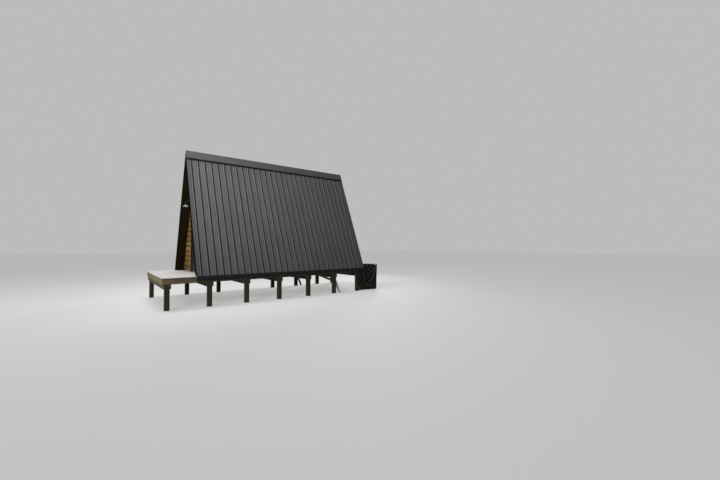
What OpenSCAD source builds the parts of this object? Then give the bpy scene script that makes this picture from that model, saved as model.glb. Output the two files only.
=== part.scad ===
// A-frame cabin: a timber platform on posts, a steep ribbed metal roof that comes down to the
// floor on both sides, log-sided gable walls with half-glazed doors, and a deck at each end.
// The ridge runs along X, the front is the -X end, the near side is -Y, and Z = 0 is the ground.

/* [Platform] */
// Length of the deck ahead of the roof
front_deck_l = 975; // [600:5:1500]
// Length of the deck behind the roof
rear_deck_l = 800; // [500:5:1500]
// Width over the two side rims
platform_w = 3480; // [3000:10:4200]
// Overhang of the deck boards past the rims
board_overhang = 25; // [0:1:50]
// Height of the walking surface over the lowest ground
deck_z = 1000; // [800:10:1600]
// Thickness of the deck and floor boards
board_t = 25; // [18:1:40]
// Height of the joists and rims
joist_h = 180; // [140:5:240]
// Thickness of the joists, rims, beams, rafters and braces
timber_t = 38; // [30:1:50]
// Number of floor joists between the side rims
joist_n = 8; // [4:1:12]

/* [Posts] */
// Side of each square post
post_w = 140; // [90:5:200]
// Spacing of the rows of posts
post_pitch = 1220; // [900:10:1600]
// Distance from the end of the platform to the centre of the last row
post_inset = 160; // [155:5:300]
// Height of the beams bolted to both faces of a row of posts
beam_h = 140; // [90:5:235]
// Row of posts that carries the braces, counted from the front
brace_row = 5; // [3:1:5]
// Width of a brace
brace_w = 89; // [60:1:140]
// Height on the post where the braces meet
brace_z = 530; // [400:10:560]

/* [Roof] */
// Length of the roof along the ridge
roof_l = 6785; // [5000:5:9000]
// Distance from a side rim out to the roof's lower edge
eave_out = 71; // [50:1:150]
// Height of the ridge over the lower edges
roof_h = 4342; // [3600:2:5000]
// Height of the lower edges over the walking surface
eave_lift = 10; // [8:1:30]
// Thickness of the metal sheets
sheet_t = 2; // [1:0.5:4]
// Spacing of the main ribs
rib_pitch = 228.6; // [150:0.1:310]
// Distance from the front edge to the centre of the first rib
rib_first = 135; // [130:1:200]
// Height of the main ribs
rib_h = 19; // [10:1:40]
// Width of a main rib at its foot
rib_foot = 46; // [30:1:50]
// Width of a main rib at its top
rib_top = 18; // [8:1:24]
// Height of the small ribs between the main ones
minor_h = 3; // [1:0.5:6]
// Width of a small rib at its foot
minor_foot = 18; // [10:1:24]
// Thickness of the roof sheathing
sheathing_t = 12; // [9:1:25]
// Height of a rafter, square to the slope
rafter_h = 140; // [89:1:235]
// Largest spacing of the rafters
rafter_pitch = 610; // [400:10:800]
// Height of the ridge board
ridge_board_h = 184; // [120:1:240]
// Length of each leg of the ridge cap
cap_leg = 246; // [150:1:300]
// Width of the metal trim on the roof's end edges
rake_w = 100; // [60:1:105]
// Height of the trim under the roof's lower edges
eave_trim_h = 85; // [50:1:140]

/* [Gable walls] */
// Distance from the roof's end edge to the wall behind it
recess = 280; // [150:5:500]
// Thickness of a gable wall behind its siding
wall_t = 100; // [80:1:150]
// Height of one course of log siding
course_h = 190; // [140:1:240]
// Thickness of the siding at a joint
siding_joint_t = 12; // [8:1:20]
// Rise of the rounded face of the siding over its joints
siding_rise = 26; // [10:1:40]

/* [Doors] */
// Width of a door leaf
door_w = 860; // [700:5:960]
// Height of a door leaf
door_h = 2030; // [1900:5:2100]
// Thickness of a door leaf
door_t = 45; // [35:1:55]
// Gap round a door leaf
door_gap = 3; // [2:0.5:6]
// Thickness of a door frame
jamb_t = 40; // [25:1:60]
// Width of the stop that a closed leaf rests against
stop_w = 12; // [8:1:20]
// Width of a door's stiles and rails
stile_w = 130; // [90:1:170]
// Height of the middle rail over the floor
lock_rail_z = 900; // [700:5:1000]
// Depth of the recessed lower panel
panel_depth = 12; // [5:1:16]
// Thickness of the glass
glass_t = 8; // [4:1:12]
// Radius of a door knob
knob_r = 28; // [20:1:34]

/* [Gable windows] */
// Height of a gable window's opening over the floor
window_z = 2620; // [2610:5:2900]
// Width of the wall between the window and the slope
window_inset = 175; // [120:1:260]
// Width of a gable window's frame
window_frame_w = 45; // [30:1:70]

/* [Wall lamp] */
// Height of the lamp shade's rim over the floor
lamp_z = 2380; // [2300:5:2385]
// Distance from the wall to the middle of the shade
lamp_reach = 265; // [180:5:320]
// Radius of the shade's rim
shade_r = 98; // [70:1:130]
// Height of the shade
shade_h = 100; // [50:1:110]
// Thickness of the shade
shade_t = 3; // [2:0.5:5]
// Radius of the lamp's arm
arm_r = 11; // [8:0.5:16]
// Radius of the bend in the arm
arm_bend_r = 45; // [30:1:60]
// Radius of the lamp's glass globe
globe_r = 34; // [24:1:40]

/* [Sheet] */
// Depth that the folds of the sheet beside the rear deck take up
cover_t = 26; // [6:1:34]
// Height of the sheet's hem over the ground
hem_z = 12; // [5:1:60]
// Height of the rail that the sheet hangs over, at its end by the roof
rail_h = 180; // [110:1:220]
// How much lower the rail is at its rear end
rail_fall = 45; // [0:1:80]
// How far the sheet's lower rear corner has swung forward
hem_swing = 35; // [0:1:80]

/* [Hidden] */
$fn = 48;

// Places along the ridge
platform_l = front_deck_l + roof_l + rear_deck_l;
front_x = -platform_l / 2;
rear_x = platform_l / 2;
roof_front_x = front_x + front_deck_l;
roof_rear_x = roof_front_x + roof_l;
siding_t = siding_joint_t + siding_rise;
wall_front_x = roof_front_x + recess;
wall_rear_x = roof_rear_x - recess;
wall_depth = siding_t + wall_t;

// Heights
joist_top = deck_z - board_t;
joist_bottom = joist_top - joist_h;
eave_z = deck_z + eave_lift;

// The slope, and points on it: s runs up the slope from the lower edge, d runs in from the outer face
half_eave = platform_w / 2 + eave_out;
slope = atan2(roof_h, half_eave);
slope_l = half_eave / cos(slope);
function near_point(s, d) = [
    -half_eave + s * cos(slope) + d * sin(slope),
    eave_z + s * sin(slope) - d * cos(slope)
];
function plane_half(z, d) = half_eave - (z - eave_z) / tan(slope) - d / sin(slope);
function plane_z(y, d) = eave_z + (half_eave - abs(y) - d / sin(slope)) * tan(slope);
sheathing_d = sheet_t;
rafter_d = sheathing_d + sheathing_t;
roof_d = rafter_d + rafter_h;

// Rows of posts
last_row_x = rear_x - post_inset;
row_gap_min = 3 * post_w;
rows = concat(
    [for (x = [front_x + post_inset : post_pitch : last_row_x - row_gap_min]) x],
    [last_row_x]
);
post_y = platform_w / 2 - post_w / 2;

// Door opening
threshold_h = jamb_t / 2;
opening_half = door_w / 2 + door_gap + jamb_t;
opening_top = deck_z + threshold_h + door_h + 2 * door_gap + jamb_t;
leaf_z = deck_z + threshold_h + door_gap;

// Draws an outline in the Y-Z plane and runs it along X from x0 for a length l
module along_x(x0, l) {
    translate([x0, 0, 0]) rotate([90, 0, 90]) linear_extrude(height = l) children();
}

// Draws an outline in the X-Z plane and runs it along Y from y0 for a length l
module along_y(y0, l) {
    translate([0, y0 + l, 0]) rotate([90, 0, 0]) linear_extrude(height = l) children();
}

module far_side() {
    mirror([0, 1, 0]) children();
}

// Turns a piece of the front gable into the same piece of the rear gable
module rear_end() {
    translate([roof_front_x + roof_rear_x, 0, 0]) mirror([1, 0, 0]) children();
}

// Ribbed roof sheet
rib_xs = [for (x = [rib_first : rib_pitch : roof_l - rake_w - rib_foot / 2]) x];
function rib_outline(x, foot, top, h) = [[x - foot / 2, 0], [x - top / 2, h], [x + top / 2, h], [x + foot / 2, 0]];
rib_step = [for (i = [0 : len(rib_xs) - 1], p = concat(
    rib_outline(rib_xs[i], rib_foot, rib_top, rib_h),
    [for (k = [1, 2], q = rib_outline(rib_xs[i] + k * rib_pitch / 3, minor_foot, minor_foot / 2, minor_h))
        if (rib_xs[i] + k * rib_pitch / 3 + minor_foot / 2 < roof_l - rake_w) q]
)) p];
sheet_top = concat([[0, 0]], rib_step, [[roof_l, 0]]);
sheet_under = [for (i = [len(sheet_top) - 1 : -1 : 0]) sheet_top[i] - [0, sheet_t]];

module roof_panel() {
    color([0.22, 0.22, 0.23])
        translate([roof_front_x, -half_eave, eave_z])
            rotate([slope - 90, 0, 0])
                linear_extrude(height = slope_l)
                    polygon([for (p = concat(sheet_top, sheet_under)) [p[0], -p[1]]]);
}

module near_roof_panel() {
    roof_panel();
}

module far_roof_panel() {
    far_side() roof_panel();
}

// Folded cap that lies on the tops of the ribs
module ridge_cap() {
    cap_s = slope_l - cap_leg;
    inner = near_point(cap_s, -rib_h);
    outer = near_point(cap_s, -rib_h - sheet_t);
    inner_top = [0, plane_z(0, -rib_h)];
    outer_top = [0, plane_z(0, -rib_h - sheet_t)];
    color([0.27, 0.27, 0.28])
        along_x(roof_front_x, roof_l)
            polygon([inner, inner_top, [-inner[0], inner[1]], [-outer[0], outer[1]], outer_top, outer]);
}

module sheathing() {
    color([0.62, 0.5, 0.34])
        along_x(roof_front_x, roof_l)
            polygon([
                near_point(0, sheathing_d),
                [0, plane_z(0, sheathing_d)],
                [0, plane_z(0, rafter_d)],
                near_point(0, rafter_d)
            ]);
}

module near_sheathing() {
    sheathing();
}

module far_sheathing() {
    far_side() sheathing();
}

// Rafters: one at each end edge, the others spread between the two walls
inner_front_x = wall_front_x + wall_depth;
inner_rear_x = wall_rear_x - wall_depth;
inner_gaps = ceil((inner_rear_x - inner_front_x) / rafter_pitch);
inner_step = (inner_rear_x - inner_front_x) / inner_gaps;
rafter_xs = concat(
    [roof_front_x],
    [for (i = [1 : inner_gaps - 1]) inner_front_x + i * inner_step - timber_t / 2],
    [roof_rear_x - timber_t]
);

module rafters() {
    color([0.66, 0.53, 0.35])
        for (x = rafter_xs)
            along_x(x, timber_t)
                polygon([
                    [-plane_half(deck_z, rafter_d), deck_z],
                    [-timber_t / 2, plane_z(timber_t / 2, rafter_d)],
                    [-timber_t / 2, plane_z(timber_t / 2, roof_d)],
                    [-plane_half(deck_z, roof_d), deck_z]
                ]);
}

module near_rafters() {
    rafters();
}

module far_rafters() {
    far_side() rafters();
}

ridge_board_top = plane_z(timber_t / 2, rafter_d);
module ridge_board() {
    color([0.66, 0.53, 0.35])
        translate([roof_front_x, -timber_t / 2, ridge_board_top - ridge_board_h])
            cube([roof_l, timber_t, ridge_board_h]);
}

// Folded trim on an end edge: a flange on the sheet and a face over the end rafter, with an open
// seam at the ridge
ridge_seam = 1;
module rake_half() {
    along_x(roof_front_x - sheet_t, sheet_t + rake_w)
        polygon([
            near_point(0, -sheet_t),
            [-ridge_seam / 2, plane_z(ridge_seam / 2, -sheet_t)],
            [-ridge_seam / 2, plane_z(ridge_seam / 2, 0)],
            near_point(0, 0)
        ]);
    along_x(roof_front_x - sheet_t, sheet_t)
        polygon([
            near_point(0, -sheet_t),
            [-ridge_seam / 2, plane_z(ridge_seam / 2, -sheet_t)],
            [-ridge_seam / 2, plane_z(ridge_seam / 2, roof_d)],
            [-plane_half(deck_z, roof_d), deck_z],
            [-plane_half(deck_z, 0), deck_z]
        ]);
}

module front_rake_trim() {
    color([0.33, 0.34, 0.35]) {
        rake_half();
        far_side() rake_half();
    }
}

module rear_rake_trim() {
    rear_end() front_rake_trim();
}

// Dark trim under the lower edge, fixed on the side rim
module eave_trim() {
    color([0.1, 0.09, 0.1])
        translate([roof_front_x, -half_eave, deck_z - eave_trim_h])
            cube([roof_l, eave_out, eave_trim_h]);
}

module near_eave_trim() {
    eave_trim();
}

module far_eave_trim() {
    far_side() eave_trim();
}

// Log siding: the rounded face of each course is an arc with this radius
arc_r = (course_h * course_h / 4 + siding_rise * siding_rise) / (2 * siding_rise);
arc_steps = 6;
course_n = ceil((plane_z(0, rafter_d) - deck_z) / course_h);
function course_point(i, k) =
    let (rise_z = (k / arc_steps - 0.5) * course_h)
    [
        siding_rise - (sqrt(arc_r * arc_r - rise_z * rise_z) - (arc_r - siding_rise)),
        deck_z + (i + 0.5) * course_h + rise_z
    ];
wall_outline = concat(
    [[wall_depth, deck_z]],
    [for (i = [0 : course_n - 1], k = [0 : arc_steps - (i < course_n - 1 ? 1 : 0)]) course_point(i, k)],
    [[wall_depth, deck_z + course_n * course_h]]
);

// The whole front wall without its openings, cut to an outline in the Y-Z plane
module wall_piece() {
    color([0.6, 0.42, 0.2])
        intersection() {
            translate([wall_front_x, 0, 0]) along_y(-half_eave, 2 * half_eave) polygon(wall_outline);
            along_x(wall_front_x, wall_depth) children();
        }
}

module side_wall() {
    wall_piece()
        polygon([
            [-plane_half(deck_z, rafter_d), deck_z],
            [-opening_half, deck_z],
            [-opening_half, opening_top],
            [-plane_half(opening_top, rafter_d), opening_top]
        ]);
}

function gable_triangle(z, d) = [[-plane_half(z, d), z], [plane_half(z, d), z], [0, plane_z(0, d)]];
window_low = deck_z + window_z;
window_d = rafter_d + window_inset;

module top_wall() {
    wall_piece()
        difference() {
            polygon(gable_triangle(opening_top, rafter_d));
            polygon(gable_triangle(window_low, window_d));
            translate([-timber_t / 2, ridge_board_top - ridge_board_h]) square([timber_t, 2 * ridge_board_h]);
        }
}

module front_wall_near() {
    side_wall();
}

module front_wall_far() {
    far_side() side_wall();
}

module front_wall_top() {
    top_wall();
}

module rear_wall_near() {
    rear_end() side_wall();
}

module rear_wall_far() {
    rear_end() far_side() side_wall();
}

module rear_wall_top() {
    rear_end() top_wall();
}

// Door frame with its threshold
clear_w = door_w + 2 * door_gap;
clear_h = door_h + 2 * door_gap;
module clear_opening(inset) {
    translate([inset - clear_w / 2, deck_z + threshold_h]) square([clear_w - 2 * inset, clear_h - inset]);
}

module door_frame() {
    stop_x = leaf_x + door_t;
    color([0.2, 0.13, 0.09]) {
        along_x(wall_front_x, wall_depth)
            difference() {
                translate([-opening_half, deck_z]) square([2 * opening_half, opening_top - deck_z]);
                clear_opening(0);
            }
        along_x(stop_x, wall_front_x + wall_depth - stop_x)
            difference() {
                clear_opening(0);
                clear_opening(stop_w);
            }
    }
}

// Door leaf, glazed over its middle rail and with a recessed panel under it
reveal = 10;
leaf_x = wall_front_x + siding_t + reveal;
light_low = lock_rail_z + stile_w;
light_h = door_h - light_low - stile_w;
light_w = door_w - 2 * stile_w;
bottom_rail_w = 1.5 * stile_w;
module door_leaf() {
    color([0.13, 0.09, 0.07])
        translate([leaf_x, -door_w / 2, leaf_z])
            difference() {
                cube([door_t, door_w, door_h]);
                translate([-1, stile_w, light_low]) cube([door_t + 2, light_w, light_h]);
                for (x = [-1, door_t - panel_depth])
                    translate([x, stile_w, bottom_rail_w])
                        cube([panel_depth + 1, light_w, lock_rail_z - bottom_rail_w]);
            }
}

module door_glass() {
    color([0.3, 0.36, 0.38, 0.6])
        translate([leaf_x + (door_t - glass_t) / 2, -light_w / 2, leaf_z + light_low])
            cube([glass_t, light_w, light_h]);
}

// Knob on its rose and neck, turned as one piece and standing on the leaf's outer face
knob_y = door_w / 2 - stile_w / 2;
knob_z = leaf_z + lock_rail_z + stile_w / 2;
knob_reach = 1.5 * knob_r;
rose_r = 0.95 * knob_r;
rose_t = 6;
knob_neck_r = 0.4 * knob_r;
module knob() {
    rotate([0, -90, 0])
        rotate_extrude()
            difference() {
                union() {
                    square([rose_r, rose_t]);
                    square([knob_neck_r, knob_reach]);
                    translate([0, knob_reach]) circle(r = knob_r);
                }
                translate([-2 * knob_r, 0]) square([2 * knob_r, knob_reach + 2 * knob_r]);
            }
}

module leaf_knobs() {
    translate([leaf_x, knob_y, knob_z]) knob();
    translate([leaf_x + door_t, knob_y, knob_z]) rotate([0, 0, 180]) knob();
}

module door_knobs() {
    color([0.15, 0.15, 0.15]) {
        leaf_knobs();
        rear_end() leaf_knobs();
    }
}

module front_door_frame() {
    door_frame();
}

module front_door() {
    door_leaf();
}

module front_door_glass() {
    door_glass();
}

module rear_door_frame() {
    rear_end() door_frame();
}

module rear_door() {
    rear_end() door_leaf();
}

module rear_door_glass() {
    rear_end() door_glass();
}

// Three-cornered gable window: its frame and its glass
module window_frame() {
    color([0.2, 0.13, 0.09])
        along_x(wall_front_x + siding_t / 2, wall_depth - siding_t / 2)
            difference() {
                polygon(gable_triangle(window_low, window_d));
                polygon(gable_triangle(window_low + window_frame_w, window_d + window_frame_w));
            }
}

module window_glass() {
    color([0.3, 0.36, 0.38, 0.6])
        along_x(wall_front_x + siding_t + wall_t / 2 - glass_t / 2, glass_t)
            polygon(gable_triangle(window_low + window_frame_w, window_d + window_frame_w));
}

module front_gable_window() {
    window_frame();
}

module front_gable_glass() {
    window_glass();
}

module rear_gable_window() {
    rear_end() window_frame();
}

module rear_gable_glass() {
    rear_end() window_glass();
}

// Wall lamp: a turned shade that hangs from a bent arm, over the front door
lamp_x = wall_front_x - lamp_reach;
rim_z = deck_z + lamp_z;
neck_z = rim_z + shade_h;
plate_course = ceil((neck_z + arm_bend_r - deck_z) / course_h - 0.5);
arm_z = deck_z + (plate_course + 0.5) * course_h;
plate_r = 3.6 * arm_r;
plate_t = 12;
module lamp_bracket() {
    color([0.5, 0.5, 0.52]) {
        translate([lamp_x, 0, neck_z]) cylinder(r = arm_r, h = arm_z - arm_bend_r - neck_z);
        translate([lamp_x + arm_bend_r, 0, arm_z - arm_bend_r])
            rotate([90, 0, 0])
                rotate([0, 0, 90])
                    rotate_extrude(angle = 90) translate([arm_bend_r, 0]) circle(r = arm_r);
        translate([lamp_x + arm_bend_r, 0, arm_z])
            rotate([0, 90, 0]) cylinder(r = arm_r, h = lamp_reach - arm_bend_r);
        translate([wall_front_x - plate_t, 0, arm_z]) rotate([0, 90, 0]) cylinder(r = plate_r, h = plate_t);
    }
}

// The shade: a flared brim under a dome, whose section is a quarter of an ellipse up to the socket
socket_r = 2 * arm_r;
socket_h = 0.2 * shade_h;
brim_r = 0.62 * shade_r;
brim_h = 0.2 * shade_h;
dome_steps = 12;
function dome_point(i, t) =
    let (end = acos((socket_r - t) / (brim_r - t)), a = i * end / dome_steps)
    let (base = brim_h - t / 2, rise = shade_h - socket_h - brim_h - t / 2)
    [(brim_r - t) * cos(a), base + rise * sin(a) / sin(end)];
module lamp_shade() {
    color([0.78, 0.78, 0.8])
        translate([lamp_x, 0, rim_z])
            rotate_extrude()
                polygon(concat(
                    [[shade_r, 0]],
                    [for (i = [0 : dome_steps]) dome_point(i, 0)],
                    [[socket_r, shade_h], [0, shade_h], [0, shade_h - shade_t]],
                    [[socket_r - shade_t, shade_h - shade_t]],
                    [for (i = [dome_steps : -1 : 0]) dome_point(i, shade_t)],
                    [[shade_r - 2 * shade_t, 0]]
                ));
}

// The globe and its neck, which stands in the socket
globe_drop = 1.5 * globe_r;
globe_neck_r = 0.45 * globe_r;
module lamp_globe() {
    color([0.95, 0.93, 0.85])
        translate([lamp_x, 0, rim_z + shade_h - shade_t])
            rotate_extrude()
                intersection() {
                    union() {
                        translate([0, -globe_drop]) square([globe_neck_r, globe_drop]);
                        translate([0, -globe_drop]) circle(r = globe_r);
                    }
                    translate([0, -globe_drop - globe_r]) square([globe_r, globe_drop + globe_r]);
                }
}

// Platform frame
frame_front_x = front_x + board_overhang;
frame_rear_x = rear_x - board_overhang;
frame_l = frame_rear_x - frame_front_x;
module side_rim() {
    color([0.55, 0.48, 0.36])
        translate([frame_front_x, -platform_w / 2, joist_bottom]) cube([frame_l, timber_t, joist_h]);
}

module near_rim() {
    side_rim();
}

module far_rim() {
    far_side() side_rim();
}

module end_rims() {
    color([0.66, 0.56, 0.42])
        for (x = [frame_front_x, frame_rear_x - timber_t])
            translate([x, timber_t - platform_w / 2, joist_bottom])
                cube([timber_t, platform_w - 2 * timber_t, joist_h]);
}

joist_step = (platform_w - timber_t) / (joist_n + 1);
module floor_joists() {
    color([0.55, 0.48, 0.36])
        for (i = [1 : joist_n])
            translate([frame_front_x + timber_t, i * joist_step - platform_w / 2, joist_bottom])
                cube([frame_l - 2 * timber_t, timber_t, joist_h]);
}

module boards(x0, x1, overhang) {
    translate([x0, -platform_w / 2 - overhang, joist_top]) cube([x1 - x0, platform_w + 2 * overhang, board_t]);
}

module interior_floor() {
    color([0.6, 0.48, 0.32]) boards(roof_front_x, roof_rear_x, 0);
}

module front_deck() {
    color([0.8, 0.79, 0.76]) boards(front_x, roof_front_x, board_overhang);
}

module rear_deck() {
    color([0.8, 0.79, 0.76]) boards(roof_rear_x, rear_x, board_overhang);
}

module cross_beams() {
    color([0.5, 0.42, 0.3])
        for (x = rows, side = [-post_w / 2 - timber_t, post_w / 2])
            translate([x + side, -platform_w / 2, joist_bottom - beam_h])
                cube([timber_t, platform_w, beam_h]);
}

module post_row() {
    color([0.6, 0.55, 0.42])
        for (x = rows)
            translate([x - post_w / 2, -post_y - post_w / 2, 0]) cube([post_w, post_w, joist_bottom]);
}

module near_posts() {
    post_row();
}

module far_posts() {
    far_side() post_row();
}

// Two braces on one post: a knee brace that runs forward up to the rim, and a raking board that runs
// back down to the ground; each crosses its run between the post's height brace_z and its end
knee_run = 640;
rake_run = 220;
module side_braces() {
    post_front = rows[brace_row] - post_w / 2;
    post_rear = rows[brace_row] + post_w / 2;
    knee_angle = atan2(joist_bottom - brace_z, knee_run);
    rake_angle = atan2(brace_z, rake_run);
    along_y(-post_y - timber_t / 2, timber_t) {
        intersection() {
            translate([post_front, brace_z]) rotate(180 - knee_angle)
                translate([-knee_run, -brace_w / 2]) square([3 * knee_run, brace_w]);
            translate([post_front - 2 * knee_run, 0]) square([2 * knee_run, joist_bottom]);
        }
        intersection() {
            translate([post_rear, brace_z]) rotate(-rake_angle)
                translate([-rake_run, -brace_w / 2]) square([4 * rake_run, brace_w]);
            translate([post_rear, 0]) square([3 * rake_run, brace_z]);
        }
    }
}

module post_braces() {
    color([0.68, 0.6, 0.45]) {
        side_braces();
        far_side() side_braces();
    }
}

// Rail on the near edge of the rear deck, and the black sheet that hangs over it with a loose fit
seat_gap = 0.3;
rail_gap = 10;
rail_x = roof_rear_x + sheet_t + rail_gap;
module rear_rail() {
    color([0.5, 0.42, 0.3])
        along_y(-platform_w / 2 - board_overhang, timber_t)
            polygon([
                [rail_x, deck_z],
                [rear_x, deck_z],
                [rear_x, deck_z + rail_h - rail_fall],
                [rail_x, deck_z + rail_h]
            ]);
}

module hung_sheet() {
    sheet_front = rows[len(rows) - 2] + post_w / 2;
    color([0.05, 0.05, 0.055])
        along_y(-platform_w / 2 - board_overhang - seat_gap - cover_t, cover_t)
            polygon([
                [sheet_front, hem_z],
                [rear_x - hem_swing, hem_z],
                [rear_x, deck_z + rail_h - rail_fall],
                [rail_x, deck_z + rail_h],
                [rail_x, deck_z - eave_trim_h - seat_gap],
                [sheet_front, deck_z - eave_trim_h - seat_gap]
            ]);
}

near_roof_panel();
far_roof_panel();
ridge_cap();
near_sheathing();
far_sheathing();
near_rafters();
far_rafters();
ridge_board();
front_rake_trim();
rear_rake_trim();
near_eave_trim();
far_eave_trim();
front_wall_near();
front_wall_far();
front_wall_top();
rear_wall_near();
rear_wall_far();
rear_wall_top();
front_door_frame();
front_door();
front_door_glass();
rear_door_frame();
rear_door();
rear_door_glass();
door_knobs();
front_gable_window();
front_gable_glass();
rear_gable_window();
rear_gable_glass();
lamp_bracket();
lamp_shade();
lamp_globe();
near_rim();
far_rim();
end_rims();
floor_joists();
interior_floor();
front_deck();
rear_deck();
cross_beams();
near_posts();
far_posts();
post_braces();
rear_rail();
hung_sheet();
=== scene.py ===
import math
import random

import bmesh
import bpy
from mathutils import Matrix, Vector


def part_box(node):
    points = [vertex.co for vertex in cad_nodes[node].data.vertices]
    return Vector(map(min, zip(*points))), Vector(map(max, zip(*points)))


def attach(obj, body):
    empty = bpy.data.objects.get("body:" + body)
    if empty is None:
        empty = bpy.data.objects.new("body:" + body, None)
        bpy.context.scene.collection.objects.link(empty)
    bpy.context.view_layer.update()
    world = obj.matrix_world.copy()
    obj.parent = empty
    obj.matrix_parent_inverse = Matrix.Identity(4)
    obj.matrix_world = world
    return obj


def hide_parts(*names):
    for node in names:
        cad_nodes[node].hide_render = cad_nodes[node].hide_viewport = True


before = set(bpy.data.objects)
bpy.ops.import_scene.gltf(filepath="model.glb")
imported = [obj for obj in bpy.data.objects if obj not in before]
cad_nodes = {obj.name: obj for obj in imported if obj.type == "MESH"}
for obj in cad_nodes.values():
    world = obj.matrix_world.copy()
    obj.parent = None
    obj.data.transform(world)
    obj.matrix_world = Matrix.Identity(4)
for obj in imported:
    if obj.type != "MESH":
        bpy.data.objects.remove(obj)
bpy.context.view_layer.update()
scene = bpy.context.scene
scene.view_settings.view_transform = "Standard"

# Camera: it stands on open ground ahead of the cabin's near front corner, at head height, and looks
# level across the near roof slope. Its place, turn and lens come from the roof's corners and ribs.
photo_width = 720
focal_pixels = 334.3
sensor_width = 36.0
camera_place = (-5.879, -13.261, 1.973)
camera_turn = math.radians(38.60)
camera_rise = math.radians(0.97)
camera_reach = 400.0


def put(name, data):
    """Puts data into the scene as an object at the origin."""
    item = bpy.data.objects.new(name, data)
    scene.collection.objects.link(item)
    return item


camera_data = bpy.data.cameras.new("camera")
camera_data.sensor_width = sensor_width
camera_data.lens = focal_pixels * sensor_width / photo_width
camera_data.clip_end = camera_reach
camera = put("camera", camera_data)
camera.location = camera_place
camera.rotation_euler = (math.pi / 2 + camera_rise, 0.0, -camera_turn)
scene.camera = camera

# Studio: a plain pale floor that the posts stand on, a pale background, one large soft lamp overhead,
# one high at the front left, which falls off along the near slope, and one behind for the far side. Each
# lamp has its place, its aim, its width, its power in watts and the angle of its beam.
floor_half = 90.0
floor_seen = (0.34, 0.34, 0.336, 1.0)
floor_glow = (0.4, 0.4, 0.396, 1.0)
floor_bounce = (0.2, 0.2, 0.19, 1.0)
no_glow = (0.0, 0.0, 0.0, 1.0)
sky_seen = (0.50, 0.505, 0.51, 1.0)
sky_fill = (0.15, 0.15, 0.15, 1.0)
lamps = {
    "overhead_lamp": ((-3.8, 1.5, 13.0), (-0.8, 0.0, 1.0), 6.0, 1180.0, 180),
    "side_lamp": ((-12.0, -9.0, 7.0), (-2.8, -1.1, 4.6), 2.0, 240.0, 56),
    "rear_lamp": ((13.0, 9.0, 6.0), (2.0, 0.5, 3.0), 4.0, 300.0, 70),
}


def feed(tree, inputs, sockets):
    """Gives each named or numbered input its value, or the output that feeds it."""
    for name, value in sockets.items():
        if isinstance(value, bpy.types.NodeSocket):
            tree.links.new(value, inputs[name])
        else:
            inputs[name].default_value = value


def add(tree, kind, sockets=None, **settings):
    """Adds a node with its settings and its inputs."""
    node = tree.nodes.new(kind)
    for name, value in settings.items():
        setattr(node, name, value)
    feed(tree, node.inputs, sockets or {})
    return node


def maths(tree, operation, first, second=0.0, third=0.0, clamp=False):
    node = add(tree, "ShaderNodeMath", {0: first, 1: second, 2: third}, operation=operation, use_clamp=clamp)
    return node.outputs[0]


def times(tree, first, second):
    return maths(tree, "MULTIPLY", first, second)


def mix(tree, factor, first, second):
    """The first colour where the factor is 0, and the second where it is 1."""
    return add(tree, "ShaderNodeMix", {0: factor, 6: first, 7: second}, data_type="RGBA").outputs[2]


def new_material(name):
    """An empty material, with its tree and its Principled shader."""
    material = bpy.data.materials.new(name)
    material.use_nodes = True
    return material, material.node_tree, material.node_tree.nodes["Principled BSDF"]


def seen_directly(tree):
    """1 on the rays that meet the floor or the background from the camera, a gloss or a pane."""
    path = add(tree, "ShaderNodeLightPath").outputs
    either = maths(tree, "MAXIMUM", path["Is Camera Ray"], path["Is Glossy Ray"])
    return maths(tree, "MAXIMUM", either, path["Is Transmission Ray"])


floor_mesh = bpy.data.meshes.new("studio_floor")
floor_corners = [(-floor_half, -floor_half, 0), (floor_half, -floor_half, 0),
                 (floor_half, floor_half, 0), (-floor_half, floor_half, 0)]
floor_mesh.from_pydata(floor_corners, [], [(0, 1, 2, 3)])
studio_floor = put("studio_floor", floor_mesh)
floor_material, tree, shader = new_material("studio_floor")
feed(tree, shader.inputs, {
    "Base Color": mix(tree, seen_directly(tree), floor_bounce, floor_seen),
    "Roughness": 0.9, "Specular IOR Level": 0.1, "Emission Strength": 1.0,
    "Emission Color": mix(tree, seen_directly(tree), no_glow, floor_glow)})
floor_mesh.materials.append(floor_material)

world = bpy.data.worlds.new("studio")
world.use_nodes = True
scene.world = world
tree = world.node_tree
feed(tree, tree.nodes["Background"].inputs, {"Color": mix(tree, seen_directly(tree), sky_fill, sky_seen)})

for name, (place, aim, width, power, beam_angle) in lamps.items():
    lamp_data = bpy.data.lights.new(name, "AREA")
    lamp_data.energy = power
    lamp_data.size = width
    lamp_data.spread = math.radians(beam_angle)
    lamp_object = put(name, lamp_data)
    lamp_object.location = place
    beam = Vector(aim) - Vector(place)
    lamp_object.rotation_euler = beam.to_track_quat("-Z", "Y").to_euler()

# Platform timbers: sawn square posts, paired beams bolted to their faces, joists on edge between rims,
# and braces on the posts at the rear. The wood has gone grey, is green low down and has worn edges.
# Under the roof it is darkened with painted shade, and so is one brace, while the other is painted pale as if
# in sun.
sawn_edge = 0.004
eased_edge = 0.002
post_edge = 0.006
sharp_angle = 0.5
weld_distance = 1e-5
tone_spread = 0.14
grain_reach = 20.0
grain_offset = 0.12
sawn_dark = (0.035, 0.032, 0.024, 1.0)
algae_green = (0.05, 0.065, 0.03, 1.0)
algae_top = 0.45
# Painted shade under the roof and over one brace: its colours and how much of it there is.
run_shade_pale = (0.026, 0.028, 0.018, 1.0)
run_shade_dark = (0.012, 0.013, 0.009, 1.0)
run_shade_amount = 0.94
run_fade = 0.02
roof_run = (-3.3, 3.48)
knee_run = (1.0, 1.98)
# A painted shadow along the top of each rim, where the deck boards' edges overhang it.
rim_top = 0.975
rim_shadow_from = 0.045
rim_shadow_full = 0.015
rim_shadow_amount = 0.8
rail_tone = 0.3


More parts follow.
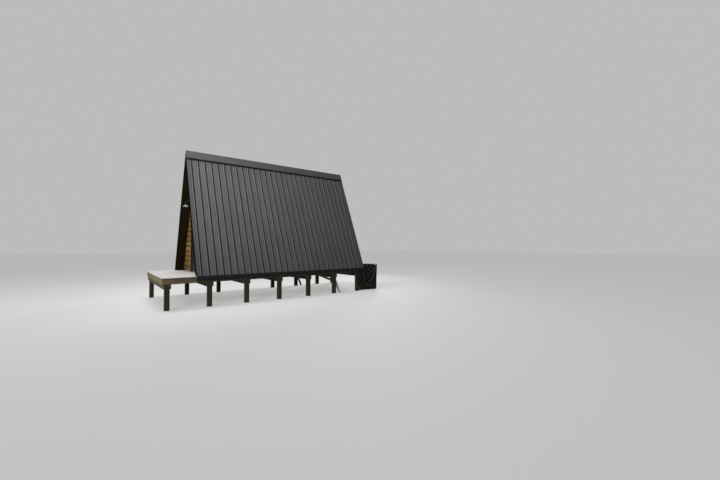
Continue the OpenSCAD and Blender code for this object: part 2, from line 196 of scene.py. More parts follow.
def new_tree(name, kind, inputs, outputs):
    """A group of nodes and its sockets; an input is (name, kind) or (name, kind, value)."""
    tree = bpy.data.node_groups.new(name, kind)
    for label, socket_kind, *value in inputs:
        socket = tree.interface.new_socket(label, in_out="INPUT", socket_type="NodeSocket" + socket_kind)
        if value:
            socket.default_value = value[0]
    for label, socket_kind in outputs:
        tree.interface.new_socket(label, in_out="OUTPUT", socket_type="NodeSocket" + socket_kind)
    return tree, tree.nodes.new("NodeGroupInput").outputs, tree.nodes.new("NodeGroupOutput").inputs


def place_group(tree, group, sockets):
    return add(tree, "ShaderNodeGroup", sockets, node_tree=group).outputs


def parts_of(tree, vector):
    """The X, Y and Z of a vector."""
    return add(tree, "ShaderNodeSeparateXYZ", {"Vector": vector}).outputs


def noise(tree, vector, scale, detail=4.0, roughness=0.55, distortion=0.0):
    node = add(tree, "ShaderNodeTexNoise", {
        "Vector": vector, "Scale": scale, "Detail": detail, "Roughness": roughness, "Distortion": distortion})
    return node.outputs["Fac"]


def stretched(tree, vector, scale):
    return add(tree, "ShaderNodeMapping", {"Vector": vector, "Scale": scale}, vector_type="POINT").outputs[0]


def band(tree, value, low, high, out_low=0.0, out_high=1.0):
    """Maps low..high of a value to out_low..out_high, held at both ends."""
    return add(tree, "ShaderNodeMapRange", {
        "Value": value, "From Min": low, "From Max": high, "To Min": out_low, "To Max": out_high}).outputs[0]


# Wood grain: the position's X runs along the fibres. Rings are the broad figure of a sawn face, streaks
# the fibres, checks the fine drying cracks, and height is all three for a bump.
grain_group, ins, outs = new_tree(
    "wood_grain", "ShaderNodeTree",
    [("Position", "Vector"), ("Ring Scale", "Float", 22.0), ("Check Amount", "Float", 0.5)],
    [("Rings", "Float"), ("Streaks", "Float"), ("Checks", "Float"), ("Height", "Float")])
tree = grain_group
warp = noise(tree, stretched(tree, ins["Position"], (0.7, 4.0, 4.0)), 1.0, 2.0)
ring_wave = add(tree, "ShaderNodeTexWave", {
    "Vector": stretched(tree, ins["Position"], (0.12, 1.0, 1.0)), "Scale": ins["Ring Scale"],
    "Distortion": 3.5, "Detail": 3.0, "Detail Scale": 1.4},
    wave_type="RINGS", rings_direction="X", wave_profile="SAW").outputs["Fac"]
rings = maths(tree, "MULTIPLY_ADD", warp, 0.5, times(tree, ring_wave, 0.6), clamp=True)
fibres = noise(tree, stretched(tree, ins["Position"], (2.2, 95.0, 95.0)), 1.0, 5.0, 0.65)
streaks = band(tree, fibres, 0.32, 0.68)
long_noise = noise(tree, stretched(tree, ins["Position"], (1.1, 60.0, 60.0)), 1.3, 2.0, 0.5, 0.3)
check_low = maths(tree, "SUBTRACT", 0.74, times(tree, ins["Check Amount"], 0.12))
checks = band(tree, long_noise, check_low, maths(tree, "ADD", check_low, 0.045))
height = maths(tree, "ADD", times(tree, streaks, 0.5), times(tree, rings, 0.25))
height = maths(tree, "SUBTRACT", height, times(tree, checks, 0.9))
feed(tree, outs, {"Rings": rings, "Streaks": streaks, "Checks": checks, "Height": height})

# Weathering: broad stains and fine specks over the whole cabin, and a mask that rises towards the ground.
weather_group, ins, outs = new_tree(
    "weathering", "ShaderNodeTree",
    [("Place", "Vector"), ("Stain Scale", "Float", 1.6), ("Splash Top", "Float", algae_top)],
    [("Stain", "Float"), ("Speck", "Float"), ("Splash", "Float")])
tree = weather_group
stain_noise = noise(tree, ins["Place"], ins["Stain Scale"], 6.0, 0.6)
speck_noise = noise(tree, ins["Place"], 140.0, 3.0, 0.7)
above = maths(tree, "DIVIDE", parts_of(tree, ins["Place"])["Z"], ins["Splash Top"])
ragged = maths(tree, "MULTIPLY_ADD", stain_noise, 0.9, maths(tree, "SUBTRACT", 0.55, above))
feed(tree, outs, {
    "Stain": band(tree, stain_noise, 0.36, 0.64), "Speck": band(tree, speck_noise, 0.62, 0.75),
    "Splash": band(tree, ragged, 0.0, 0.6)})

# Painted shade: the wood darkened from one X to another under the roof, and a painted shadow along a rim's
# top.
run_shade_group, ins, outs = new_tree(
    "painted_run_shade", "ShaderNodeTree", [("Place", "Vector"), ("Start", "Float"), ("End", "Float")],
    [("Run Shade", "Float")])
tree = run_shade_group
along = parts_of(tree, ins["Place"])["X"]
past_start = maths(tree, "SUBTRACT", along, ins["Start"])
before_end = maths(tree, "SUBTRACT", ins["End"], along)
run_shade = times(tree, band(tree, past_start, -run_fade, run_fade), band(tree, before_end, -run_fade, run_fade))
feed(tree, outs, {"Run Shade": times(tree, run_shade, run_shade_amount)})
rim_shadow_group, ins, outs = new_tree(
    "rim_top_shadow", "ShaderNodeTree", [("Place", "Vector"), ("Top", "Float")], [("Top Shadow", "Float")])
tree = rim_shadow_group
under_top = maths(tree, "SUBTRACT", ins["Top"], parts_of(tree, ins["Place"])["Z"])
feed(tree, outs, {"Top Shadow": band(tree, under_top, rim_shadow_from, rim_shadow_full, 0.0, rim_shadow_amount)})


def object_place(tree):
    return add(tree, "ShaderNodeTexCoord").outputs["Object"]


def attribute(tree, name, part="Vector"):
    return add(tree, "ShaderNodeAttribute", attribute_name=name).outputs[part]


def bump(tree, shader, height, distance, strength=0.6):
    node = add(tree, "ShaderNodeBump", {"Height": height, "Distance": distance, "Strength": strength})
    tree.links.new(node.outputs[0], shader.inputs["Normal"])


def lay(tree, under, mask, amount, colour):
    """Lays a colour over the one under it where the mask is, at most by the amount."""
    return mix(tree, times(tree, mask, amount), under, colour)


def figure(tree, grain, ring_share, streak_share, clamp=False):
    """The figure of a wood, made of its rings and its fibres."""
    streaks = times(tree, grain["Streaks"], streak_share)
    return maths(tree, "MULTIPLY_ADD", grain["Rings"], ring_share, streaks, clamp=clamp)


def wood_material(name, pale, mid, dark, rough=0.75, checks=0.5, splash=0.0, stain=0.35, specular=0.3,
                  dark_run=None, dirty_top=None):
    """Wood whose grain follows each member and whose members differ a little in tone. Where dark_run gives
    two X, it is darkened between them with painted shade, and where a top height is given, a painted shadow
    lies just under it."""
    material, tree, shader = new_material(name)
    place = object_place(tree)
    grain = place_group(tree, grain_group, {"Position": attribute(tree, "grain"), "Check Amount": checks})
    weather = place_group(tree, weather_group, {"Place": place})
    shade = maths(tree, "ADD", figure(tree, grain, 0.55, 0.45), attribute(tree, "tone", "Fac"), clamp=True)
    colour = mix(tree, shade, pale, mid)
    colour = lay(tree, colour, weather["Stain"], stain, dark)
    colour = lay(tree, colour, grain["Checks"], 0.85, dark)
    if splash:
        colour = lay(tree, colour, weather["Splash"], splash, algae_green)
    # Painted shade from one X to another.
    if dark_run:
        run_shade = place_group(tree, run_shade_group, {"Place": place, "Start": dark_run[0], "End": dark_run[1]})
        colour = mix(tree, run_shade["Run Shade"], colour, mix(tree, shade, run_shade_pale, run_shade_dark))
    # A painted shadow along the top, under the deck boards' edges.
    if dirty_top:
        dirt = place_group(tree, rim_shadow_group, {"Place": place, "Top": dirty_top})
        colour = mix(tree, dirt["Top Shadow"], colour, dark)
    feed(tree, shader.inputs, {
        "Base Color": colour, "Roughness": maths(tree, "MULTIPLY_ADD", grain["Streaks"], -0.12, rough),
        "Specular IOR Level": specular})
    bump(tree, shader, grain["Height"], 0.0016)
    return material


def links_of(shape):
    """The separate solids of a bmesh, each as a list of its vertices."""
    seen = set()
    solids = []
    for start in shape.verts:
        if start in seen:
            continue
        solid = []
        waiting = [start]
        seen.add(start)
        while waiting:
            vertex = waiting.pop()
            solid.append(vertex)
            for edge in vertex.link_edges:
                other = edge.other_vert(vertex)
                if other not in seen:
                    seen.add(other)
                    waiting.append(other)
        solids.append(solid)
    return solids


def finish_piece(name, mesh, materials, replaced=()):
    """Makes the mesh a piece of the cabin, with its materials and the nodes it stands for."""
    piece = put(name, mesh)
    for material in materials:
        mesh.materials.append(material)
    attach(piece, "root")
    if replaced:
        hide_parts(*replaced)
    return piece


def set_grain(shape, seed, tone):
    """Gives each separate solid of a shape its own grain, along its longest edge, and its own tone."""
    grain_layer = shape.verts.layers.float_vector.new("grain")
    tone_layer = shape.verts.layers.float.new("tone")
    chance = random.Random(seed)
    shape.edges.index_update()
    for solid in links_of(shape):
        edges = {edge for vertex in solid for edge in vertex.link_edges}
        longest = max(edges, key=lambda edge: (round(edge.calc_length(), 5), -edge.index))
        along = (longest.verts[1].co - longest.verts[0].co).normalized()
        side = along.cross(Vector((0, 0, 1)))
        side = side.normalized() if side.length > 0.1 else Vector((1, 0, 0))
        up = along.cross(side)
        middle = sum((vertex.co for vertex in solid), Vector()) / len(solid)
        shift = Vector((chance.uniform(0, grain_reach), chance.uniform(-grain_offset, grain_offset),
                        chance.uniform(-grain_offset, grain_offset)))
        member_tone = tone + chance.uniform(-tone_spread, tone_spread)
        for vertex in solid:
            reach = vertex.co - middle
            vertex[grain_layer] = Vector((reach.dot(along), reach.dot(side), reach.dot(up))) + shift
            vertex[tone_layer] = member_tone


def to_mesh(name, shape):
    mesh = bpy.data.meshes.new(name)
    shape.to_mesh(mesh)
    shape.free()
    return mesh


def wood_piece(name, shape, material, seed, replaced=(), edge=eased_edge, tone=0.0):
    """Makes the loose boards of a shape one piece of wood with eased edges."""
    bmesh.ops.recalc_face_normals(shape, faces=shape.faces)
    set_grain(shape, seed, tone)
    sharp = [item for item in shape.edges
             if len(item.link_faces) == 2 and item.calc_face_angle() > sharp_angle]
    bmesh.ops.bevel(shape, geom=sharp, offset=edge, segments=1, profile=0.5, affect="EDGES",
                    clamp_overlap=True)
    finish_piece(name, to_mesh(name, shape), [material], replaced)


def welded(node):
    """A copy of a CAD node's mesh, with its loose triangles joined."""
    shape = bmesh.new()
    shape.from_mesh(cad_nodes[node].data)
    bmesh.ops.remove_doubles(shape, verts=shape.verts, dist=weld_distance)
    return shape


def solids_of(node, flat_angle=1.0):
    """The solids of a CAD node, with their flat faces whole again."""
    shape = welded(node)
    bmesh.ops.dissolve_limit(
        shape, angle_limit=math.radians(flat_angle), verts=shape.verts, edges=shape.edges)
    return shape


def dress_timber(name, node, material, seed, edge=sawn_edge, tone=0.0):
    """Timbers with eased edges and their own grain in the place of a CAD node."""
    wood_piece(name, solids_of(node), material, seed, [node], edge, tone)


post_wood = wood_material("post_wood", pale=(0.036, 0.035, 0.02, 1), mid=(0.02, 0.02, 0.012, 1),
                          dark=sawn_dark, splash=0.5, specular=0.2)
frame_wood = wood_material("frame_wood", pale=(0.30, 0.27, 0.21, 1), mid=(0.155, 0.115, 0.07, 1),
                           dark=sawn_dark, splash=0.5)
# Beams and side rims: darker copies of the platform's wood, as painted shade; under the roof they are
# darkened more.
beam_wood_shaded = wood_material("beam_wood_shaded", pale=(0.15, 0.125, 0.085, 1), mid=(0.085, 0.066, 0.04, 1),
                          dark=sawn_dark, splash=0.5, dark_run=roof_run)
side_rim_shaded = wood_material("side_rim_shaded", pale=(0.24, 0.19, 0.1, 1), mid=(0.14, 0.105, 0.05, 1),
                         dark=sawn_dark, stain=0.55, dark_run=roof_run, dirty_top=rim_top)
end_rim_wood = wood_material("end_rim_wood", pale=(0.42, 0.35, 0.2, 1), mid=(0.26, 0.205, 0.1, 1),
                             dark=sawn_dark, stain=0.3, dirty_top=rim_top)
# Braces: a pale colour, painted sunlight on the brace in sun; the one from X 1.0 to 1.98 has painted shade
# over it.
brace_sun_and_shade = wood_material("brace_sun_and_shade", pale=(0.88, 0.84, 0.7, 1), mid=(0.74, 0.69, 0.55, 1),
                           dark=sawn_dark, stain=0.1, dark_run=knee_run)

dress_timber("near_post_timbers", "near_posts", post_wood, seed=11, edge=post_edge)
dress_timber("far_post_timbers", "far_posts", post_wood, seed=12, edge=post_edge)
dress_timber("cross_beam_timbers", "cross_beams", beam_wood_shaded, seed=13)
dress_timber("near_rim_board", "near_rim", side_rim_shaded, seed=14)
dress_timber("far_rim_board", "far_rim", side_rim_shaded, seed=15)
dress_timber("end_rim_boards", "end_rims", end_rim_wood, seed=16)
dress_timber("joists", "floor_joists", frame_wood, seed=17)
dress_timber("brace_timbers", "post_braces", brace_sun_and_shade, seed=18)
dress_timber("rail_timber", "rear_rail", frame_wood, seed=19, tone=rail_tone)

# Carriage bolts: each pair of beams is drawn onto its post by two long bolts, whose round heads sit on
# square washers of galvanised steel on the beams' outer faces. A fastener's washer and head are given
# as (radius, height, sides).
bolt_washer = (0.019, 0.003, 4)
bolt_head = (0.011, 0.007, 10)
bolt_spread_y = 0.032
bolt_spread_z = 0.034
post_side = 0.14
post_spacing = 1.22
post_bays = 7
beam_thick = 0.038


def metal_material(name, colour, dirt, rough=0.45, metallic=0.0, dirt_amount=0.5, speck_amount=0.35,
                   specular=0.5):
    """Painted or plated steel with stains, dust specks and an uneven gloss."""
    material, tree, shader = new_material(name)
    weather = place_group(tree, weather_group, {"Place": object_place(tree), "Stain Scale": 2.4})
    surface = lay(tree, colour, weather["Stain"], dirt_amount, dirt)
    surface = lay(tree, surface, weather["Speck"], speck_amount, dirt)
    feed(tree, shader.inputs, {
        "Base Color": surface, "Roughness": maths(tree, "MULTIPLY_ADD", weather["Stain"], 0.18, rough),
        "Metallic": metallic, "Specular IOR Level": specular})
    return material


def plain_copy(item):
    """The mesh of an object as its modifiers make it."""
    depsgraph = bpy.context.evaluated_depsgraph_get()
    return bpy.data.meshes.new_from_object(
        item.evaluated_get(depsgraph), preserve_all_data_layers=True, depsgraph=depsgraph)


def run_tree(name, tree, values, points=None, edge=0.0):
    """Runs a tree on the points (place, aim), eases the edges and returns the result as a plain mesh."""
    mesh = bpy.data.meshes.new(name)
    if points:
        mesh.from_pydata([place for place, aim in points], [], [])
        aims = mesh.attributes.new("aim", "FLOAT_VECTOR", "POINT")
        for item, (place, aim) in zip(aims.data, points):
            item.vector = aim
    holder = put(name, mesh)
    modifier = holder.modifiers.new("make", "NODES")
    modifier.node_group = tree
    for socket in tree.interface.items_tree:
        if socket.in_out == "INPUT" and socket.name in values:
            modifier[socket.identifier] = values[socket.name]
    if edge:
        easing = holder.modifiers.new("edges", "BEVEL")
        easing.width = edge
        easing.segments = 1
    bpy.context.view_layer.update()
    made = plain_copy(holder)
    bpy.data.objects.remove(holder)
    made.name = name
    return made


def stored(tree, name):
    return add(tree, "GeometryNodeInputNamedAttribute", {"Name": name}, data_type="FLOAT_VECTOR").outputs[0]


def raised_disc(tree, sides, radius, height, base):
    """A short cylinder that stands on the height base."""
    disc = add(tree, "GeometryNodeMeshCylinder", {"Vertices": sides, "Radius": radius, "Depth": height})
    lift = maths(tree, "MULTIPLY_ADD", height, 0.5, base)
    offset = add(tree, "ShaderNodeCombineXYZ", {"Z": lift}).outputs[0]
    moved = add(tree, "GeometryNodeTransform", {"Geometry": disc.outputs["Mesh"], "Translation": offset})
    return moved.outputs[0]


# A fastener on each point: a washer and a head on it, turned at random about the way it was driven.
fastener_tree, ins, outs = new_tree(
    "fasteners", "GeometryNodeTree",
    [("Geometry", "Geometry"),
     ("Washer Radius", "Float"), ("Washer Height", "Float"), ("Washer Sides", "Int"),
     ("Head Radius", "Float"), ("Head Height", "Float"), ("Head Sides", "Int"),
     ("Seed", "Int"), ("Material", "Material")],
    [("Geometry", "Geometry")])
tree = fastener_tree
washer = raised_disc(tree, ins["Washer Sides"], ins["Washer Radius"], ins["Washer Height"], 0.0)
head = raised_disc(tree, ins["Head Sides"], ins["Head Radius"], ins["Head Height"], ins["Washer Height"])
both = add(tree, "GeometryNodeJoinGeometry")
tree.links.new(washer, both.inputs[0])
tree.links.new(head, both.inputs[0])
facing = add(tree, "FunctionNodeAlignRotationToVector", {"Vector": stored(tree, "aim")}, axis="Z").outputs[0]
driven = add(tree, "GeometryNodeInstanceOnPoints", {
    "Points": ins["Geometry"], "Instance": both.outputs[0], "Rotation": facing}).outputs[0]
spin = add(tree, "FunctionNodeRandomValue", {
    2: 0.0, 3: math.tau, "Seed": ins["Seed"]}, data_type="FLOAT").outputs[1]
spin_turn = add(tree, "ShaderNodeCombineXYZ", {"Z": spin}).outputs[0]
driven = add(tree, "GeometryNodeRotateInstances", {
    "Instances": driven, "Rotation": spin_turn, "Local Space": True}).outputs[0]
driven = add(tree, "GeometryNodeRealizeInstances", {"Geometry": driven}).outputs[0]
driven = add(tree, "GeometryNodeSetMaterial", {"Geometry": driven, "Material": ins["Material"]}).outputs[0]
tree.links.new(driven, outs["Geometry"])


def fasten(name, points, washer, head, material, seed):
    """Fasteners on the points; washer and head are (radius, height, sides)."""
    mesh = run_tree(name, fastener_tree, {
        "Washer Radius": washer[0], "Washer Height": washer[1], "Washer Sides": washer[2],
        "Head Radius": head[0], "Head Height": head[1], "Head Sides": head[2],
        "Seed": seed, "Material": material}, points)
    finish_piece(name, mesh, [])


bolt_steel = metal_material("bolt_steel", colour=(0.33, 0.33, 0.33, 1), dirt=(0.12, 0.09, 0.06, 1),
                            rough=0.5, metallic=0.6)
beam_low, beam_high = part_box("cross_beams")
post_low, post_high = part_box("near_posts")
beam_middle = (beam_low.z + beam_high.z) / 2
beam_face = post_side / 2 + beam_thick
post_rows = [beam_low.x + beam_face + post_spacing * count for count in range(post_bays)]
post_rows.append(beam_high.x - beam_face)
post_line = -(post_low.y + post_high.y) / 2
bolt_points = []
for row in post_rows:
    for side in (-1, 1):
        for face in (-1, 1):
            for step in (-1, 1):
                place = Vector((row + face * beam_face, side * post_line + step * bolt_spread_y,
                                beam_middle + step * bolt_spread_z))
                bolt_points.append((place, Vector((face, 0, 0))))
fasten("beam_bolts", bolt_points, bolt_washer, bolt_head, bolt_steel, seed=3)

# Deck boards: planed softwood laid across the joists with a gap for water, bleached to a pale silver
# grey. Each board is held by two screws at each joist, and its edges are eased.
board_step = 0.14
board_gap = 0.006
board_edge = 0.003
board_uneven = (0.0008, 0.003, 0.0005)
board_tones = 0.18
board_shift = 0.1
joist_count = 8
deck_screw_spread = 0.045
deck_screw_sunk = 0.0004
deck_screw_washer = (0.0048, 0.0008, 8)
deck_screw_head = (0.0022, 0.0004, 6)


def keep(tree, geometry, name, value, domain="POINT", kind="FLOAT_VECTOR"):
    node = add(tree, "GeometryNodeStoreNamedAttribute", {
        "Geometry": geometry, "Name": name, "Value": value}, domain=domain, data_type=kind)
    return node.outputs[0]


def random_vector(tree, low, high, seed):
    return add(tree, "FunctionNodeRandomValue", {
        0: low, 1: high, "Seed": seed}, data_type="FLOAT_VECTOR").outputs[0]


def vector_maths(tree, operation, first, second):
    return add(tree, "ShaderNodeVectorMath", {0: first, 1: second}, operation=operation).outputs[0]


# A row of boards: each is a little out of line, with its own grain and its own tone.
board_tree, ins, outs = new_tree(
    "board_row", "GeometryNodeTree",
    [("Geometry", "Geometry"), ("Size", "Vector"), ("Start", "Vector"), ("Step", "Vector"), ("Count", "Int"),
     ("Unevenness", "Vector"), ("Tone Spread", "Float"), ("Seed", "Int"), ("Material", "Material")],
    [("Geometry", "Geometry")])
tree = board_tree
board = add(tree, "GeometryNodeMeshCube", {"Size": ins["Size"]}).outputs["Mesh"]
spot = parts_of(tree, add(tree, "GeometryNodeInputPosition").outputs[0])
fibre = add(tree, "ShaderNodeCombineXYZ", {"X": spot["Y"], "Y": spot["X"], "Z": spot["Z"]}).outputs[0]
board = keep(tree, board, "grain", fibre)
line = add(tree, "GeometryNodeMeshLine", {
    "Count": ins["Count"], "Start Location": ins["Start"], "Offset": ins["Step"]}, mode="OFFSET").outputs[0]
uneven = random_vector(tree, (-1.0, -1.0, -1.0), (1.0, 1.0, 1.0), ins["Seed"])
uneven = vector_maths(tree, "MULTIPLY", uneven, ins["Unevenness"])
line = add(tree, "GeometryNodeSetPosition", {"Geometry": line, "Offset": uneven}).outputs[0]
row = add(tree, "GeometryNodeInstanceOnPoints", {"Points": line, "Instance": board}).outputs[0]
tone = add(tree, "FunctionNodeRandomValue", {
    2: times(tree, ins["Tone Spread"], -1.0), 3: ins["Tone Spread"], "Seed": ins["Seed"]},
    data_type="FLOAT").outputs[1]
row = keep(tree, row, "tone", tone, "INSTANCE", "FLOAT")
shift = random_vector(tree, (0.0, -board_shift, -board_shift), (grain_reach, board_shift, board_shift),
                      ins["Seed"])
row = keep(tree, row, "shift", shift, "INSTANCE")
row = add(tree, "GeometryNodeRealizeInstances", {"Geometry": row}).outputs[0]
shifted = vector_maths(tree, "ADD", stored(tree, "grain"), stored(tree, "shift"))
row = keep(tree, row, "grain", shifted)
row = add(tree, "GeometryNodeRemoveAttribute", {"Geometry": row, "Name": "shift"}).outputs[0]
row = add(tree, "GeometryNodeSetMaterial", {"Geometry": row, "Material": ins["Material"]}).outputs[0]
tree.links.new(row, outs["Geometry"])


def board_mesh(name, low, high, material, seed):
    """Boards that run across the cabin and fill the box from low to high, with a gap between them. The
    places of their middles come with the mesh."""
    count = max(1, round((high.x - low.x) / board_step))
    step = (high.x - low.x + board_gap) / count
    size = (step - board_gap, high.y - low.y, high.z - low.z)
    start = (low.x + size[0] / 2, (low.y + high.y) / 2, (low.z + high.z) / 2)
    mesh = run_tree(name, board_tree, {
        "Size": size, "Start": start, "Step": (step, 0.0, 0.0), "Count": count, "Unevenness": board_uneven,
        "Tone Spread": board_tones, "Seed": seed, "Material": material}, edge=board_edge)
    return mesh, [start[0] + step * place for place in range(count)]


deck_wood = wood_material("deck_wood", pale=(0.67, 0.65, 0.635, 1), mid=(0.525, 0.50, 0.48, 1),
                          dark=(0.16, 0.14, 0.11, 1), rough=0.7, checks=0.35, stain=0.12)
joist_low, joist_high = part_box("floor_joists")
joist_span = (joist_high.y - joist_low.y - beam_thick) / (joist_count - 1)
joist_lines = [joist_low.y + beam_thick / 2 + joist_span * count for count in range(joist_count)]
screw_points = []
for deck, seed in (("front_deck", 31), ("rear_deck", 32)):
    low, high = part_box(deck)
    mesh, board_places = board_mesh(deck + "_boards", low, high, deck_wood, seed)
    finish_piece(deck + "_boards", mesh, [], [deck])
    for place in board_places:
        for joist in joist_lines:
            for side in (-deck_screw_spread, deck_screw_spread):
                head_place = Vector((place + side, joist, high.z - deck_screw_sunk))
                screw_points.append((head_place, Vector((0, 0, 1))))
screw_steel = metal_material("screw_steel", colour=(0.2, 0.2, 0.19, 1), dirt=(0.08, 0.06, 0.04, 1),
                             rough=0.45, metallic=0.8)
fasten("deck_screws", screw_points, deck_screw_washer, deck_screw_head, screw_steel, seed=4)

# Floor: the same boards, laid the same way, run on under the roof. Outside the gable walls they are
# bleached like the decks, and inside the room they are oiled to a warm brown.
wall_cover = 0.02
floor_oiled = wood_material("oiled_floor", pale=(0.40, 0.26, 0.13, 1), mid=(0.27, 0.16, 0.075, 1),
                            dark=(0.1, 0.055, 0.025, 1), rough=0.45, stain=0.2)
floor_low, floor_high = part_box("interior_floor")
wall_faces = {"front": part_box("front_wall_near")[0].x, "rear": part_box("rear_wall_near")[1].x}
room_from = wall_faces["front"] + wall_cover
room_to = wall_faces["rear"] - wall_cover
shape = bmesh.new()
zone_materials = [deck_wood, floor_oiled]
for zone_from, zone_to, zone_material, seed in (
        (floor_low.x, room_from, 0, 33), (room_from, room_to, 1, 34), (room_to, floor_high.x, 0, 35)):
    low = Vector((zone_from + board_gap / 2, floor_low.y, floor_low.z))
    high = Vector((zone_to - board_gap / 2, floor_high.y, floor_high.z))
    mesh = board_mesh("floor_zone", low, high, zone_materials[zone_material], seed)[0]
    before = len(shape.faces)
    shape.from_mesh(mesh)
    shape.faces.ensure_lookup_table()
    for face in shape.faces[before:]:
        face.material_index = zone_material
mesh = to_mesh("floor_boards", shape)
finish_piece("floor_boards", mesh, zone_materials, ["interior_floor"])

# Roof framing: spruce rafters on edge on both sides of a ridge board, with strand board nailed over
# them. It shows from the room through the panes, and is bare and pale.
rafter_edge = 0.003
rafter_wood = wood_material("rafter_wood", pale=(0.50, 0.37, 0.21, 1), mid=(0.38, 0.25, 0.125, 1),
                            dark=(0.14, 0.085, 0.04, 1), stain=0.15, checks=0.3)
dress_timber("near_rafter_timbers", "near_rafters", rafter_wood, seed=41, edge=rafter_edge)
dress_timber("far_rafter_timbers", "far_rafters", rafter_wood, seed=42, edge=rafter_edge)
dress_timber("ridge_timber", "ridge_board", rafter_wood, seed=43, edge=rafter_edge)


def dress_node(node, material):
    """Gives a CAD node that shows as it is its material."""
    mesh = cad_nodes[node].data
    mesh.materials.clear()
    mesh.materials.append(material)


strand_pale = (0.46, 0.33, 0.17, 1)
strand_dark = (0.24, 0.15, 0.07, 1)
strand_board, tree, shader = new_material("strand_board")
place = object_place(tree)
flakes = add(tree, "ShaderNodeTexVoronoi", {
    "Vector": stretched(tree, place, (14.0, 42.0, 24.0)), "Scale": 1.0, "Randomness": 1.0},
    distance="CHEBYCHEV").outputs
flake_tone = add(tree, "ShaderNodeSeparateColor", {"Color": flakes["Color"]}).outputs["Red"]
fleck = noise(tree, stretched(tree, place, (30.0, 160.0, 160.0)), 1.0, 3.0)
shade = maths(tree, "MULTIPLY_ADD", fleck, 0.5, times(tree, flake_tone, 0.6), clamp=True)
feed(tree, shader.inputs, {"Base Color": mix(tree, shade, strand_pale, strand_dark), "Roughness": 0.7})
bump(tree, shader, flakes["Distance"], 0.0008)
dress_node("near_sheathing", strand_board)
dress_node("far_sheathing", strand_board)

# Roof sheets: charcoal painted ribbed steel, screwed through to the framing beside each rib. Four ribs
# make one sheet, and each sheet's last rib laps over the next one. Rain has left dust in streaks. A
# painted shadow lies beside each rib and under the ridge cap, and a painted highlight on each rib's flank.
eave_half = 1.811
eave_height = 1.010
ridge_rise = 4.342
rib_pitch = 0.2286
rib_first = 0.135
rib_height = 0.019
rib_foot = 0.046
rib_top = 0.018
sheet_thick = 0.002
rake_wide = 0.1
cap_leg = 0.246
roof_angle = math.atan2(ridge_rise, eave_half)
slope_length = math.hypot(ridge_rise, eave_half)
roof_front, roof_rear = [corner.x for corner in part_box("ridge_cap")]
slopes = ((-1, "near"), (1, "far"))
ends = (("front", 1), ("rear", -1))
roof_ends = {"front": roof_front, "rear": roof_rear}
roof_specular = 0.22
stain_colour = (0.055, 0.055, 0.057, 1.0)
# Painted shadow beside each rib and under the ridge cap, and a painted highlight on each rib's other flank.
rib_shade_colour = (0.010, 0.010, 0.011, 1.0)
rib_shade_amount = 0.94
rib_shade_lead = 0.012
lee_start = (0.0, 0.006)
lee_end = (0.059, 0.043)
flank_highlight_colour = (0.135, 0.135, 0.137, 1.0)
flank_highlight_from = 0.024
flank_highlight_full = 0.018
flank_highlight_amount = 0.45
cap_shadow_reach = 0.075
cap_shadow_fade = 0.012
lap_ribs = 4
lap_lift = 0.0012
lap_rest = 0.0002
lap_share = 0.999
roof_washer = (0.0085, 0.0022, 10)
roof_head = (0.0055, 0.0045, 6)
roof_screw_beside = 0.042
roof_screw_rows = [0.12 + 0.64 * count for count in range(7)] + [slope_length - 0.30]

# Rain streaks: dust that rain has drawn down the slopes, with its own lines on each side of the ridge.
streak_group, ins, outs = new_tree(
    "rain_streaks", "ShaderNodeTree", [("Place", "Vector")], [("Streak", "Float")])
tree = streak_group
parts = parts_of(tree, ins["Place"])
fall = add(tree, "ShaderNodeCombineXYZ", {
    "X": times(tree, parts["X"], 26.0), "Y": times(tree, parts["Z"], 0.45),
    "Z": maths(tree, "SIGN", parts["Y"])}).outputs[0]
feed(tree, outs, {"Streak": band(tree, noise(tree, fall, 1.0, 5.0, 0.6), 0.42, 0.72)})


def roof_material(name, colour, dust, streaks=0.5, rib_shade=0.0):
    """Painted steel with dust that rain has drawn down the slope; where asked, a painted shadow beside each
    rib and under the ridge cap, with less gloss, and a painted highlight on each rib's flank.
    """
    material, tree, shader = new_material(name)
    place = object_place(tree)
    streak = place_group(tree, streak_group, {"Place": place})["Streak"]
    weather = place_group(tree, weather_group, {"Place": place, "Stain Scale": 0.9})
    surface = lay(tree, colour, streak, streaks, dust)
    surface = lay(tree, surface, weather["Stain"], 0.25, stain_colour)
    surface = lay(tree, surface, weather["Speck"], 0.25, dust)
    specular = roof_specular
    if rib_shade:
        # Painted shadow in the lee of each rib, and a painted highlight on the flank before it.
        parts = parts_of(tree, place)
        past_rib = maths(tree, "SUBTRACT", parts["X"], roof_front + rib_first - rib_shade_lead)
        past_rib = maths(tree, "DIVIDE", past_rib, rib_pitch)
        past_rib = times(tree, maths(tree, "FRACT", past_rib), rib_pitch)
        painted_shadow = times(tree, band(tree, past_rib, *lee_start), band(tree, past_rib, *lee_end))
        flank = band(tree, past_rib, rib_pitch - flank_highlight_from, rib_pitch - flank_highlight_full,
                     0.0, flank_highlight_amount)
        surface = mix(tree, flank, surface, flank_highlight_colour)
        # Painted shadow of the ridge cap on the sheets under its edge.
        cap_shadow_top = eave_height + (slope_length - cap_leg) * math.sin(roof_angle) - cap_shadow_reach
        under_cap = band(tree, parts["Z"], cap_shadow_top, cap_shadow_top + cap_shadow_fade)
        painted_shadow = maths(tree, "MAXIMUM", painted_shadow, under_cap)
        surface = lay(tree, surface, painted_shadow, rib_shade, rib_shade_colour)
        specular = maths(tree, "MULTIPLY_ADD", painted_shadow, -0.2, roof_specular)
    gloss = maths(tree, "MULTIPLY_ADD", streak, 0.1, 0.48)
    gloss = maths(tree, "MULTIPLY_ADD", weather["Stain"], 0.12, gloss)
    feed(tree, shader.inputs, {"Base Color": surface, "Roughness": gloss, "Specular IOR Level": specular})
    bump(tree, shader, noise(tree, place, 3.1, 2.0, 0.4), 0.02, 0.25)
    return material


